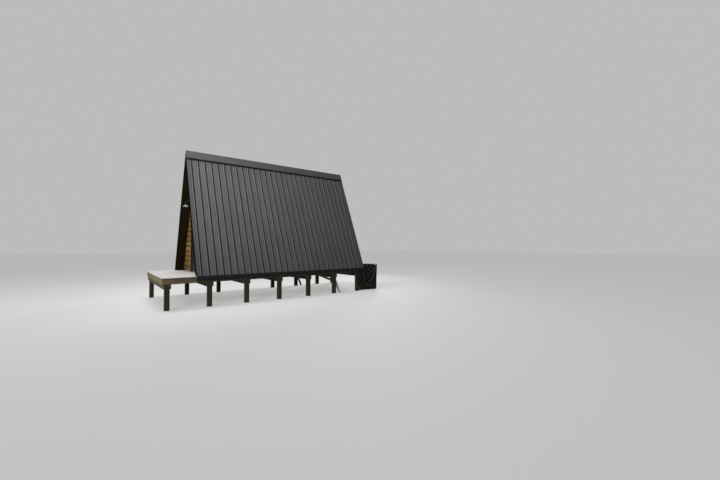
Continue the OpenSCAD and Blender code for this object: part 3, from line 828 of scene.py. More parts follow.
def slope_point(side, x, up, out):
    """A point of a roof slope: up from the lower edge along the fall, and out from the sheets' flats."""
    across = eave_half - up * math.cos(roof_angle) + out * math.sin(roof_angle)
    return Vector((x, side * across, eave_height + up * math.sin(roof_angle) + out * math.cos(roof_angle)))


def up_slope(side, length):
    """The way up a slope, as long as the length."""
    return slope_point(side, 0.0, length, 0.0) - slope_point(side, 0.0, 0.0, 0.0)


def off_slope(side):
    """The way straight out of a slope."""
    return Vector((0.0, side * math.sin(roof_angle), math.cos(roof_angle)))


def add_prism(shape, outline, run):
    """Closes an outline of points in space into a solid that reaches along the vector run."""
    first = [shape.verts.new(point) for point in outline]
    last = [shape.verts.new(point + run) for point in outline]
    shape.faces.new(first[::-1])
    shape.faces.new(last)
    for corner in range(len(outline)):
        after = (corner + 1) % len(outline)
        shape.faces.new((first[corner], first[after], last[after], last[corner]))


def add_run(shape, corners, x_from, x_to):
    """A solid that runs from one X to another, from its corners (y, z)."""
    add_prism(shape, [Vector((x_from, y, z)) for y, z in corners], Vector((x_to - x_from, 0.0, 0.0)))


def add_slope_prism(shape, side, corners, run):
    """A solid whose outline's corners are (x, up, out) of a slope."""
    add_prism(shape, [slope_point(side, x, up, out) for x, up, out in corners], run)


def close_mesh(name, shape, smooth=0.0):
    """Turns the faces outwards, rounds what meets at less than the angle smooth, and makes the mesh."""
    bmesh.ops.recalc_face_normals(shape, faces=shape.faces)
    mesh = to_mesh(name, shape)
    if smooth:
        mesh.shade_smooth()
        mesh.set_sharp_from_angle(angle=smooth)
    return mesh


roof_paint = roof_material("roof_paint", colour=(0.081, 0.081, 0.083, 1), dust=(0.15, 0.15, 0.148, 1),
                           rib_shade=rib_shade_amount)
dress_node("near_roof_panel", roof_paint)
dress_node("far_roof_panel", roof_paint)
roof_screw_steel = metal_material("roof_screw_paint", colour=(0.10, 0.10, 0.102, 1),
                                  dirt=(0.2, 0.14, 0.09, 1), rough=0.4, dirt_amount=0.25, speck_amount=0.2)
rib_places = []
place = roof_front + rib_first
while place < roof_rear - rake_wide - rib_foot / 2:
    rib_places.append(place)
    place += rib_pitch
lap_profile = ((-rib_top / 2 - 0.003, rib_height - 0.004), (-rib_top / 2, rib_height),
               (rib_top / 2, rib_height), (rib_foot / 2, 0.0), (rib_foot / 2 + 0.012, 0.0))
for side, label in slopes:
    screws = []
    for rib in rib_places:
        for up in roof_screw_rows:
            screws.append((slope_point(side, rib + roof_screw_beside, up, 0.0), off_slope(side)))
    fasten(label + "_roof_screws", screws, roof_washer, roof_head, roof_screw_steel,
           seed=50 + side)
    shape = bmesh.new()
    for rib in rib_places[lap_ribs - 1::lap_ribs]:
        outer = [(rib + across, 0.0, out + lap_lift) for across, out in lap_profile]
        inner = [(rib + across, 0.0, out + lap_rest) for across, out in lap_profile]
        add_slope_prism(shape, side, outer + inner[::-1], up_slope(side, slope_length) * lap_share)
    name = label + "_sheet_laps"
    finish_piece(name, close_mesh(name, shape), [roof_paint])

# Closures: black foam strips cut to the ribs keep insects and rain out under the ridge cap, and fill
# the open ends of the ribs at the lower edges. Each is pressed in with a hair's gap to the steel.
foam_pale = (0.014, 0.014, 0.015, 1)
foam_deep = (0.004, 0.004, 0.004, 1)
foam_wide = 0.11
# How far the foam under the cap reaches out past its edge; that black reach stands in for the cap's shadow on
# the sheets.
cap_shadow_foam = 0.07
foam_gap = 0.0005
foam_stop = 0.09
rake_end_gap = 0.002
rake_end_low = 0.0055
mouth_up = 0.012
mouth_depth = 0.025
mouth_drop = 0.0018
foam_black, tree, shader = new_material("foam_black")
cells = add(tree, "ShaderNodeTexVoronoi", {"Vector": object_place(tree), "Scale": 420.0}).outputs["Distance"]
feed(tree, shader.inputs, {
    "Base Color": mix(tree, cells, foam_deep, foam_pale), "Roughness": 0.95, "Specular IOR Level": 0.02})
bump(tree, shader, cells, 0.0006)
foam_low = slope_length - cap_leg - cap_shadow_foam
foam_top = rib_height - foam_gap
mouth_profile = ((-rib_foot / 2 + 0.003, -mouth_drop), (-rib_top / 2 + 0.001, rib_height - 0.0025),
                 (rib_top / 2 - 0.001, rib_height - 0.0025), (rib_foot / 2 - 0.003, -mouth_drop))
for side, label in slopes:
    shape = bmesh.new()
    run = up_slope(side, foam_wide)
    for left, right in zip([roof_front + rake_wide - rib_foot / 2] + rib_places,
                           rib_places + [roof_rear - foam_stop]):
        if right - left > rib_foot:
            add_slope_prism(shape, side, (
                (left + rib_foot / 2, foam_low, foam_gap), (right - rib_foot / 2, foam_low, foam_gap),
                (right - rib_top / 2, foam_low, foam_top), (left + rib_top / 2, foam_low, foam_top)), run)
    for x_from, x_to in ((roof_front + rake_end_gap, roof_front + rake_wide),
                         (roof_rear - rake_wide, roof_rear - rake_end_gap)):
        add_slope_prism(shape, side, (
            (x_from, foam_low, rake_end_low), (x_to, foam_low, rake_end_low),
            (x_to, foam_low, foam_top), (x_from, foam_low, foam_top)), run)
    for rib in rib_places:
        add_slope_prism(shape, side, [(rib + across, mouth_up, out) for across, out in mouth_profile],
                        run * (mouth_depth / foam_wide))
    name = label + "_closures"
    finish_piece(name, close_mesh(name, shape), [foam_black])

# Ridge cap and rakes: folded from the sheets' steel. The cap comes in three lengths that lap, its edges
# are hemmed and stiffened by a small bend, and it is screwed to every second rib. The rakes wrap the ends
# of the roof, and a raised hem on each of their inner edges stops the rain.
cap_low = slope_length - cap_leg
cap_out = rib_height + sheet_thick
cap_hem = ((0.0, 0.0), (-0.006, -0.002), (-0.0055, -0.0045), (0.012, -0.0035), (0.012, -0.002))
cap_bend = ((0.028, 0.0), (0.031, 0.0025), (0.035, 0.0025), (0.038, 0.0))
cap_length = 3.05
cap_lap = 0.12
cap_peak = slope_length + 0.005
cap_screw_up = 0.055
rake_hem_wide = 0.014
rake_hem_rise = 0.0028
rake_hem_start = 0.004
rake_hem_stop = 0.01
rake_screw_in = 0.055
rake_screw_rows = [0.16 + 0.36 * count for count in range(12)]
rake_washer = (0.0075, 0.002, 10)
rake_head = (0.005, 0.004, 6)

# The trims' colour is darker than the sheets', as painted shade along the rakes' lips.
trim_paint_shaded = roof_material("trim_paint_shaded", colour=(0.066, 0.066, 0.068, 1), dust=(0.11, 0.11, 0.11, 1),
                           streaks=0.3)
cap_paint = roof_material("cap_paint", colour=(0.07, 0.07, 0.073, 1), dust=(0.12, 0.12, 0.12, 1),
                          streaks=0.3)
dress_node("ridge_cap", cap_paint)
dress_node("front_rake_trim", trim_paint_shaded)
dress_node("rear_rake_trim", trim_paint_shaded)
shape = bmesh.new()
roof_run_through = Vector((roof_rear - roof_front, 0.0, 0.0))
for side in (-1, 1):
    for profile in (cap_hem, cap_bend):
        corners = [(roof_front, cap_low + up, cap_out + out) for up, out in profile]
        add_slope_prism(shape, side, corners, roof_run_through)
for joint in (roof_front + cap_length, roof_front + 2 * cap_length):
    for side in (-1, 1):
        add_slope_prism(shape, side, (
            (joint, cap_low, cap_out), (joint, cap_low, cap_out + lap_lift),
            (joint, cap_peak, cap_out + lap_lift), (joint, cap_peak, cap_out)), Vector((cap_lap, 0.0, 0.0)))
finish_piece("cap_hems", close_mesh("cap_hems", shape), [cap_paint])
cap_screws = []
for side in (-1, 1):
    for rib in rib_places[::2]:
        cap_screws.append((slope_point(side, rib, cap_low + cap_screw_up, cap_out), off_slope(side)))
fasten("cap_screws", cap_screws, roof_washer, roof_head, roof_screw_steel, seed=57)

rake_faces = {end: roof_ends[end] - inwards * sheet_thick for end, inwards in ends}
rake_screws = []
shape = bmesh.new()
for end, inwards in ends:
    face_x = rake_faces[end]
    hem_from = face_x + inwards * (rake_wide + sheet_thick)
    hem_to = hem_from - inwards * rake_hem_wide
    hem_out = sheet_thick + rake_hem_rise
    for side in (-1, 1):
        add_slope_prism(shape, side, (
            (hem_from, rake_hem_start, sheet_thick), (hem_from, rake_hem_start, hem_out),
            (hem_to, rake_hem_start, hem_out), (hem_to, rake_hem_start, sheet_thick)),
            up_slope(side, cap_low - rake_hem_stop))
        for up in rake_screw_rows:
            head_place = slope_point(side, face_x + inwards * rake_screw_in, up, sheet_thick)
            rake_screws.append((head_place, off_slope(side)))
finish_piece("rake_hems", close_mesh("rake_hems", shape), [trim_paint_shaded])
fasten("rake_screws", rake_screws, rake_washer, rake_head, roof_screw_steel, seed=58)

# Rake boards: a planed board, near black brown, is nailed over the face of each rake below its
# metal lip. Each pair is cut plumb where it meets at the ridge and level at the foot.
rake_board_top = 0.012
rake_board_bottom = 0.157
rake_board_thick = 0.012
rake_board_foot = 1.002


def gable_corners(low, depth):
    """The corners of the three-cornered shape whose sides lie at a depth under the roof sheets."""
    half_width = eave_half - (low - eave_height) / math.tan(roof_angle) - depth / math.sin(roof_angle)
    apex = eave_height + (eave_half - depth / math.sin(roof_angle)) * math.tan(roof_angle)
    return [(-half_width, low), (half_width, low), (0.0, apex)]


rake_board_dark = wood_material("rake_board_dark", pale=(0.011, 0.007, 0.003, 1), mid=(0.006, 0.004, 0.002, 1),
                           dark=(0.003, 0.002, 0.001, 1), rough=0.8, stain=0.3, checks=0.4, specular=0.0)
outer = gable_corners(rake_board_foot, rake_board_top)
inner = gable_corners(rake_board_foot, rake_board_bottom)
for seed, (end, inwards) in enumerate(ends, start=64):
    shape = bmesh.new()
    for side in (0, 1):
        corners = (outer[side], inner[side], inner[2], outer[2])
        add_run(shape, corners, rake_faces[end], rake_faces[end] - inwards * rake_board_thick)
    wood_piece(end + "_rake_boards", shape, rake_board_dark, seed=seed)

# Eave trims: a near-black folded fascia under each lower edge, with a drip that kicks out at the foot
# and a bend in its face that keeps it flat. Its bends are measured from the outer top and bottom edges.
fascia_top_bends = ((-0.004, 0.0), (-0.001, -0.003), (-0.001, -0.026), (-0.006, -0.031))
fascia_drip_bends = ((-0.006, 0.014), (0.0, 0.003), (0.0, 0.0), (-0.004, 0.0), (-0.01, 0.01))
fascia_foot = 0.01
eave_low, eave_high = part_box("near_eave_trim")
eave_inner, eave_outer = -eave_high.y, -eave_low.y
eave_paint = metal_material("eave_paint", colour=(0.011, 0.009, 0.012, 1), dirt=(0.03, 0.028, 0.026, 1),
                            rough=0.5, dirt_amount=0.3, specular=0.2)
fascia_profile = [(eave_inner, eave_high.z)]
fascia_profile += [(eave_outer + across, eave_high.z + up) for across, up in fascia_top_bends]
fascia_profile += [(eave_outer + across, eave_low.z + up) for across, up in fascia_drip_bends]
fascia_profile.append((eave_inner, eave_low.z + fascia_foot))
for side, label in slopes:
    shape = bmesh.new()
    add_run(shape, [(side * across, up) for across, up in fascia_profile], eave_low.x, eave_high.x)
    name = label + "_fascia"
    finish_piece(name, close_mesh(name, shape), [eave_paint], [label + "_eave_trim"])

# Soffits: where the roof runs out past a gable wall, near-black boards under the rafters close it off,
# from the rafters' level feet to the ridge; their colour is painted shade. The outermost board comes out to
# the rake board's back.
rake_depth = 0.154
soffit_thick = 0.01
soffit_boards = 3
soffit_groove = 0.004
soffit_lip = 0.0018
soffit_gap = 0.0005
soffit_drop = 0.010
soffit_foot_gap = 0.006
soffit_peak_gap = 0.002
# Near-black boards: painted shade under the overhang.
soffit_shade_dark = wood_material("soffit_shade_dark", pale=(0.017, 0.011, 0.004, 1), mid=(0.009, 0.006, 0.002, 1),
                             dark=(0.004, 0.003, 0.001, 1), rough=0.75, stain=0.3, specular=0.05)
soffit_low = rake_depth / math.tan(roof_angle) - soffit_drop / math.sin(roof_angle) + soffit_foot_gap
soffit_top = slope_length - (rake_depth + soffit_thick) * math.tan(roof_angle) - soffit_peak_gap
soffit_out = -rake_depth - soffit_gap
soffit_in = -rake_depth - soffit_thick
for seed, (end, inwards) in enumerate(ends, start=61):
    roof_x = roof_ends[end]
    shape = bmesh.new()
    board_wide = (wall_faces[end] - roof_x) / soffit_boards
    for side in (-1, 1):
        run = slope_point(side, 0.0, soffit_top, 0.0) - slope_point(side, 0.0, soffit_low, 0.0)
        for count in range(soffit_boards):
            x_from = roof_x + board_wide * count + inwards * (soffit_groove / 2 if count else -soffit_lip)
            x_to = roof_x + board_wide * (count + 1) - inwards * soffit_groove / 2
            add_slope_prism(shape, side, (
                (x_from, soffit_low, soffit_out), (x_to, soffit_low, soffit_out),
                (x_to, soffit_low, soffit_in), (x_from, soffit_low, soffit_in)), run)
    wood_piece(end + "_soffits", shape, soffit_shade_dark, seed=seed)

# Gable walls: half-log siding of spruce, stained amber, nailed in level courses over a framed wall. The
# inside is lined with plain upright boards. Each course is one log with its own figure and its knots. The
# logs darken with painted shade high up under the roof, with dirt and painted shade in the joints, and low
# down where the rain splashes.
course_height = 0.19
lining_step = 0.12
deck_level = floor_high.z
log_smooth = math.radians(30)
log_pale = (0.46, 0.285, 0.058, 1.0)
log_mid = (0.25, 0.14, 0.026, 1.0)
log_shade_colour = (0.05, 0.028, 0.008, 1.0)
log_dark = (0.04, 0.02, 0.006, 1.0)
log_joint = (0.02, 0.011, 0.006, 1)
wall_shade_from = 1.5
wall_shade_full = 3.5
wall_shade_amount = 0.82
splash_top = 0.62
splash_full = 0.22
splash_amount = 0.62
lining_pale = (0.50, 0.35, 0.19, 1)
lining_mid = (0.36, 0.22, 0.10, 1)
lining_groove = (0.05, 0.03, 0.015, 1)


def chance_of(tree, number):
    """A number by chance, from 0 to 1, for each whole number."""
    return add(tree, "ShaderNodeTexWhiteNoise", {"W": number}, noise_dimensions="1D").outputs["Value"]


def off_half(tree, value):
    """How far a value is from a half."""
    return maths(tree, "ABSOLUTE", maths(tree, "SUBTRACT", value, 0.5))


log_stain, tree, shader = new_material("log_stain")
place = object_place(tree)
parts = parts_of(tree, place)
course = maths(tree, "DIVIDE", maths(tree, "SUBTRACT", parts["Z"], deck_level), course_height)
log_tone = chance_of(tree, maths(tree, "FLOOR", course))
fibre_place = add(tree, "ShaderNodeCombineXYZ", {
    "X": maths(tree, "MULTIPLY_ADD", log_tone, 17.0, parts["Y"]),
    "Y": maths(tree, "MULTIPLY_ADD", log_tone, 3.0, parts["X"]), "Z": parts["Z"]}).outputs[0]
grain = place_group(tree, grain_group, {"Position": fibre_place, "Ring Scale": 15.0, "Check Amount": 0.6})
knots = add(tree, "ShaderNodeTexVoronoi", {
    "Vector": stretched(tree, fibre_place, (2.1, 0.0, 1.0 / course_height)), "Scale": 1.0},
    feature="F1").outputs["Distance"]
weather = place_group(tree, weather_group, {"Place": place, "Stain Scale": 1.4})
shade = maths(tree, "ADD", figure(tree, grain, 0.5, 0.4), maths(tree, "MULTIPLY_ADD", log_tone, 0.6, -0.3),
              clamp=True)
surface = mix(tree, shade, log_pale, log_mid)
# Painted shade: the logs darken towards the roof.
wall_shaded = band(tree, parts["Z"], wall_shade_from, wall_shade_full, 0.0, wall_shade_amount)
surface = mix(tree, wall_shaded, surface, log_shade_colour)
splashed = band(tree, parts["Z"], deck_level + splash_top, deck_level + splash_full, 0.0, splash_amount)
surface = mix(tree, splashed, surface, log_dark)
surface = lay(tree, surface, band(tree, knots, 0.30, 0.15), 0.35, log_mid)
surface = lay(tree, surface, band(tree, knots, 0.17, 0.09), 0.8, log_dark)
surface = lay(tree, surface, weather["Stain"], 0.22, log_dark)
surface = lay(tree, surface, grain["Checks"], 0.7, log_dark)
# Dark joints between the logs, with painted shade where the rounded logs meet.
joint_dirt_and_shade = band(tree, off_half(tree, maths(tree, "FRACT", course)), 0.34, 0.46)
surface = lay(tree, surface, joint_dirt_and_shade, 0.88, log_joint)
feed(tree, shader.inputs, {
    "Base Color": surface, "Roughness": maths(tree, "MULTIPLY_ADD", grain["Streaks"], -0.1, 0.5),
    "Specular IOR Level": 0.2})
bump(tree, shader, grain["Height"], 0.0018)

lining_wood, tree, shader = new_material("lining_wood")
parts = parts_of(tree, object_place(tree))
lining_board = maths(tree, "DIVIDE", parts["Y"], lining_step)
board_chance = chance_of(tree, maths(tree, "FLOOR", lining_board))
fibre_place = add(tree, "ShaderNodeCombineXYZ", {
    "X": maths(tree, "MULTIPLY_ADD", board_chance, 9.0, parts["Z"]),
    "Y": parts["Y"], "Z": parts["X"]}).outputs[0]
grain = place_group(tree, grain_group, {"Position": fibre_place, "Check Amount": 0.1})
surface = mix(tree, figure(tree, grain, 0.6, 0.3, clamp=True), lining_pale, lining_mid)
groove = band(tree, off_half(tree, maths(tree, "FRACT", lining_board)), 0.47, 0.5)
feed(tree, shader.inputs, {"Base Color": lay(tree, surface, groove, 0.8, lining_groove), "Roughness": 0.55})
bump(tree, shader, maths(tree, "MULTIPLY_ADD", groove, -1.0, times(tree, grain["Height"], 0.2)), 0.003)

for end, inwards in ends:
    for part in ("near", "far", "top"):
        node = end + "_wall_" + part
        shape = solids_of(node, 0.5)
        shape.normal_update()
        for face in shape.faces:
            face.material_index = 1 if face.normal.x * inwards > 0.99 else 0
        mesh = to_mesh(node + "_logs", shape)
        mesh.shade_smooth()
        mesh.set_sharp_from_angle(angle=log_smooth)
        finish_piece(node + "_logs", mesh, [log_stain, lining_wood], [node])

# Doors: a glazed leaf over one raised panel, of stiles and rails doweled together and stained near black,
# with a weather bar at its foot, hung on three hinges in a frame whose foot is a ribbed aluminium
# threshold. Depths in the wall are measured in from the crests of the siding.
leaf_wide = 0.86
leaf_tall = 2.03
leaf_thick = 0.045
leaf_edge = 0.0025
stile = 0.13
lock_rail = 0.9
bottom_rail = 0.195
rail_set_back = 0.0004
leaf_gap = 0.003
leaf_reveal = 0.01
panel_set_back = 0.008
panel_slope = 0.05
panel_tongue = 0.35
bead_wide = 0.014
bead_proud = 0.003
bead_to_pane = 0.004
bead_edge = 0.003
bar_out = 0.022
bar_short = 0.02
bar_low = 0.006
bar_high = 0.036
jamb = 0.04
stop_wide = 0.012
stop_set_back = 0.002
siding_thick = 0.038
wall_thick = 0.138
threshold_height = 0.02
tread_lip = 0.010
tread_ridges = 5
tread_start = 0.006
tread_pitch = 0.009
tread_under = 0.006
tread_rise = 0.019
tread_back_rise = 0.0195
tread_ridge = ((0.0, 0.0115), (0.003, 0.0115), (0.0035, 0.0095), (0.0085, 0.0095))
hinge_side = -1
hinge_heights = (0.24, 1.02, 1.80)
hinge_out = 0.005
barrel_radius = 0.0065
barrel_length = 0.1
tip_radius = 0.006
tip_up = 0.052
hinge_smooth = math.radians(40)
leaf_out = siding_thick + leaf_reveal
leaf_in = leaf_out + leaf_thick
leaf_low = deck_level + threshold_height + leaf_gap
leaf_high = leaf_low + leaf_tall
leaf_half = leaf_wide / 2
light_half = leaf_half - stile
light_low = leaf_low + lock_rail + stile
light_high = leaf_high - stile
door_clear = leaf_half + leaf_gap
door_top = deck_level + threshold_height + leaf_tall + 2 * leaf_gap

joinery_dark = wood_material("joinery_dark", pale=(0.034, 0.02, 0.011, 1), mid=(0.019, 0.011, 0.006, 1),
                             dark=(0.008, 0.005, 0.003, 1), rough=0.5, stain=0.25, checks=0.15, specular=0.12)
glazing, tree, shader = new_material("glazing")
weather = place_group(tree, weather_group, {"Place": object_place(tree), "Stain Scale": 5.0})
feed(tree, shader.inputs, {
    "Base Color": (0.55, 0.6, 0.6, 1.0), "Transmission Weight": 1.0, "IOR": 1.45,
    "Roughness": maths(tree, "MULTIPLY_ADD", weather["Stain"], 0.05, 0.02)})
aluminium = metal_material("aluminium", colour=(0.42, 0.42, 0.43, 1), dirt=(0.14, 0.12, 0.1, 1),
                           rough=0.38, metallic=0.85)
black_metal = metal_material("black_metal", colour=(0.022, 0.022, 0.023, 1), dirt=(0.07, 0.06, 0.05, 1),
                             rough=0.35, dirt_amount=0.2)


def in_wall(wall_x, inwards):
    """Gives the function that turns a depth in a wall into its X."""
    return lambda depth: wall_x + inwards * depth


def add_box(shape, low, high):
    """A box from its two corners, in either order."""
    low, high = Vector(map(min, low, high)), Vector(map(max, low, high))
    corners = ((low.y, low.z), (high.y, low.z), (high.y, high.z), (low.y, high.z))
    add_run(shape, corners, low.x, high.x)


def add_across(shape, corners, half):
    """A solid that runs across the cabin, as far to both sides as half, from its corners (x, z)."""
    add_prism(shape, [Vector((x, -half, z)) for x, z in corners], Vector((0.0, 2 * half, 0.0)))


def add_raised_panel(shape, x_outer, x_inner, low, high):
    """A panel between two faces, each with a raised field that slopes down to its edges."""
    middle = (x_outer + x_inner) / 2
    rings = []
    for x, inset in ((x_outer, panel_slope), (middle + (x_outer - middle) * panel_tongue, 0.0),
                     (middle + (x_inner - middle) * panel_tongue, 0.0), (x_inner, panel_slope)):
        rings.append([shape.verts.new((x, y, z)) for y, z in (
            (low[0] + inset, low[1] + inset), (high[0] - inset, low[1] + inset),
            (high[0] - inset, high[1] - inset), (low[0] + inset, high[1] - inset))])
    shape.faces.new(rings[0])
    shape.faces.new(rings[-1][::-1])
    for first, second in zip(rings, rings[1:]):
        for corner in range(4):
            after = (corner + 1) % 4
            shape.faces.new((first[corner], first[after], second[after], second[corner]))


def make_leaf(end, at, seed):
    """The leaf's two stiles and three rails."""
    shape = bmesh.new()
    for hand in (-1, 1):
        add_box(shape, (at(leaf_out), hand * leaf_half, leaf_low),
                (at(leaf_in), hand * light_half, leaf_high))
    for rail_low, rail_high in ((0.0, bottom_rail), (lock_rail, lock_rail + stile),
                                (leaf_tall - stile, leaf_tall)):
        add_box(shape, (at(leaf_out + rail_set_back), -light_half, leaf_low + rail_low),
                (at(leaf_in - rail_set_back), light_half, leaf_low + rail_high))
    wood_piece(end + "_door_leaf", shape, joinery_dark, seed, [end + "_door"], leaf_edge)


def make_panel(end, at, seed):
    """The raised panel, the beads that hold the pane on both faces, and the weather bar."""
    shape = bmesh.new()
    add_raised_panel(shape, at(leaf_out + panel_set_back), at(leaf_in - panel_set_back),
                     (-light_half, leaf_low + bottom_rail), (light_half, leaf_low + lock_rail))
    for face_depth, pane_depth in ((leaf_out - bead_proud, leaf_out + leaf_thick / 2 - bead_to_pane),
                                   (leaf_in + bead_proud, leaf_in - leaf_thick / 2 + bead_to_pane)):
        for hand in (-1, 1):
            add_box(shape, (at(face_depth), hand * light_half, light_low),
                    (at(pane_depth), hand * (light_half - bead_wide), light_high))
        for z_from in (light_low, light_high - bead_wide):
            add_box(shape, (at(face_depth), -light_half + bead_wide, z_from),
                    (at(pane_depth), light_half - bead_wide, z_from + bead_wide))
    add_box(shape, (at(leaf_out - bar_out), -leaf_half + bar_short, leaf_low + bar_low),
            (at(leaf_out), leaf_half - bar_short, leaf_low + bar_high))
    wood_piece(end + "_door_panel_and_beads", shape, joinery_dark, seed=seed, edge=bead_edge)


def make_jambs(end, at, seed):
    """The door's frame, with the stops that the leaf shuts against."""
    shape = bmesh.new()
    stop_in = wall_thick - stop_set_back
    for hand in (-1, 1):
        add_box(shape, (at(0.0), hand * (door_clear + jamb), deck_level),
                (at(wall_thick), hand * door_clear, door_top + jamb))
        add_box(shape, (at(leaf_in), hand * door_clear, deck_level + threshold_height),
                (at(stop_in), hand * (door_clear - stop_wide), door_top))
    add_box(shape, (at(0.0), -door_clear, door_top), (at(wall_thick), door_clear, door_top + jamb))
    add_box(shape, (at(leaf_in), -door_clear + stop_wide, door_top - stop_wide),
            (at(stop_in), door_clear - stop_wide, door_top))
    wood_piece(end + "_door_jambs", shape, joinery_dark, seed, [end + "_door_frame"])


def make_threshold(end, at):
    """A ribbed tread that rises to a flat under the leaf."""
    tread = [(0.0, 0.0), (0.0, tread_lip)]
    for ridge in range(tread_ridges):
        start = tread_start + tread_pitch * ridge
        tread += [(start + depth, rise) for depth, rise in tread_ridge]
    tread += [(leaf_out + tread_under, tread_rise), (leaf_in - tread_under, tread_back_rise),
              (leaf_in, threshold_height), (wall_thick, threshold_height), (wall_thick, 0.0)]
    shape = bmesh.new()
    add_across(shape, [(at(depth), deck_level + rise) for depth, rise in tread], door_clear)
    name = end + "_threshold"
    finish_piece(name, close_mesh(name, shape), [aluminium])


def make_hinges(end, at):
    """Three barrels with round tips, in the gap between the leaf and its frame."""
    shape = bmesh.new()
    for height in hinge_heights:
        barrel = bmesh.ops.create_cone(shape, cap_ends=True, segments=12, radius1=barrel_radius,
                                       radius2=barrel_radius, depth=barrel_length)
        spot = Vector((at(leaf_out - hinge_out), hinge_side * (leaf_half + leaf_gap / 2), leaf_low + height))
        bmesh.ops.translate(shape, verts=barrel["verts"], vec=spot)
        for tip in (-1, 1):
            ball = bmesh.ops.create_uvsphere(shape, u_segments=10, v_segments=6, radius=tip_radius)
            bmesh.ops.translate(shape, verts=ball["verts"], vec=spot + Vector((0, 0, tip * tip_up)))
    name = end + "_hinges"
    finish_piece(name, close_mesh(name, shape, hinge_smooth), [black_metal])


def turned_piece(name, node, material, smooth):
    """A turned or bent CAD node with its round faces shaded smooth."""
    finish_piece(name, close_mesh(name, welded(node), math.radians(smooth)), [material], [node])


for seed, (end, inwards) in enumerate(ends, start=71):
    at = in_wall(wall_faces[end], inwards)
    make_leaf(end, at, seed)
    make_panel(end, at, seed + 10)
    make_jambs(end, at, seed + 20)
    make_threshold(end, at)
    make_hinges(end, at)
    dress_node(end + "_door_glass", glazing)
    dress_node(end + "_gable_glass", glazing)
turned_piece("turned_knobs", "door_knobs", black_metal, smooth=35)

# Gable windows: three mitred frame members hold one three-cornered pane between beads, and a sloped sill
# throws the rain clear of the siding.
window_low = 2.62 + deck_level
window_depth = 0.189
window_frame = 0.045
window_bead = 0.016
pane_depth = siding_thick + 0.05
pane_bead_far = 0.022
pane_bead_near = 0.004
sill_back = siding_thick / 2
sill_profile = ((sill_back, 0.0), (-0.022, -0.010), (-0.022, -0.024), (-0.014, -0.024), (-0.010, -0.020),
                (sill_back, -0.018))
sill_past = 0.01


def add_mitred_ring(shape, outer, inner, x_from, x_to):
    """Members that join at mitres between an outer and an inner outline."""
    for corner in range(len(outer)):
        after = (corner + 1) % len(outer)
        add_run(shape, (outer[corner], outer[after], inner[after], inner[corner]), x_from, x_to)


for seed, (end, inwards) in enumerate(ends, start=81):
    at = in_wall(wall_faces[end], inwards)
    outer, inner, bead_inner = [
        gable_corners(window_low + inset, window_depth + inset)
        for inset in (0.0, window_frame, window_frame + window_bead)]
    shape = bmesh.new()
    add_mitred_ring(shape, outer, inner, at(sill_back), at(wall_thick))
    for hand in (-1, 1):
        add_mitred_ring(shape, inner, bead_inner, at(pane_depth + hand * pane_bead_far),
                        at(pane_depth + hand * pane_bead_near))
    wood_piece(end + "_window_members", shape, joinery_dark, seed, [end + "_gable_window"])
    shape = bmesh.new()
    sill_half = outer[1][0] + sill_past
    add_across(shape, [(at(depth), window_low + rise) for depth, rise in sill_profile], sill_half)
    wood_piece(end + "_window_sill", shape, joinery_dark, seed=seed + 5)

# Wall lamp: a spun steel shade, with a purple-grey enamelled dome over a flared brim that is white, as is
# the inside. It hangs from a bent tube on a round wall plate, and a frosted globe screws into its neck.
shade_low, shade_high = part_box("lamp_shade")
shade_radius = (shade_high.x - shade_low.x) / 2
shade_height = shade_high.z - shade_low.z
shade_centre = Vector(((shade_low.x + shade_high.x) / 2, 0.0, shade_low.z))
shade_skin = 0.003
shade_segments = 48
shade_smooth = math.radians(50)
socket_radius = 0.022
socket_height = 0.2 * shade_height
brim_radius = 0.62 * shade_radius
brim_height = 0.2 * shade_height
dome_steps = 14
outer_brim = ((0.0, 0.003), (0.0012, 0.0045), (-0.001, 0.0068))
inner_brim = ((-0.0052, 0.003), (-0.003, 0.0006), (-0.0006, 0.001), (0.0, 0.003))
socket_round = 0.004


def turned_shell(name, profile, white):
    """A shell turned about the lamp's upright axis from a closed profile of (radius, height). The steps
    of the profile that are in white take the second material."""
    shape = bmesh.new()
    rings = []
    for radius, height in profile:
        turns = [math.tau * step / shade_segments for step in range(shade_segments if radius else 1)]
        rings.append([shape.verts.new((
            shade_centre.x + radius * math.cos(turn), shade_centre.y + radius * math.sin(turn),
            shade_centre.z + height)) for turn in turns])
    for place, (lower, upper) in enumerate(zip(rings, rings[1:])):
        if len(lower) == 1 and len(upper) == 1:
            continue
        for step in range(shade_segments):
            after = (step + 1) % shade_segments
            corners = [lower[0]] if len(lower) == 1 else [lower[step], lower[after]]
            corners += [upper[0]] if len(upper) == 1 else [upper[after], upper[step]]
            face = shape.faces.new(corners)
            face.material_index = 1 if place in white else 0
    return close_mesh(name, shape, shade_smooth)


def dome_point(step, skin):
    """A point of the dome, from the brim's top in to the socket, of the outer skin or of the inner one."""
    end = math.acos((socket_radius - skin) / (brim_radius - skin))
    turn = end * step / dome_steps
    rise = shade_height - socket_height - brim_height - skin / 2
    height = brim_height - skin / 2 + rise * math.sin(turn) / math.sin(end)
    return (brim_radius - skin) * math.cos(turn), height


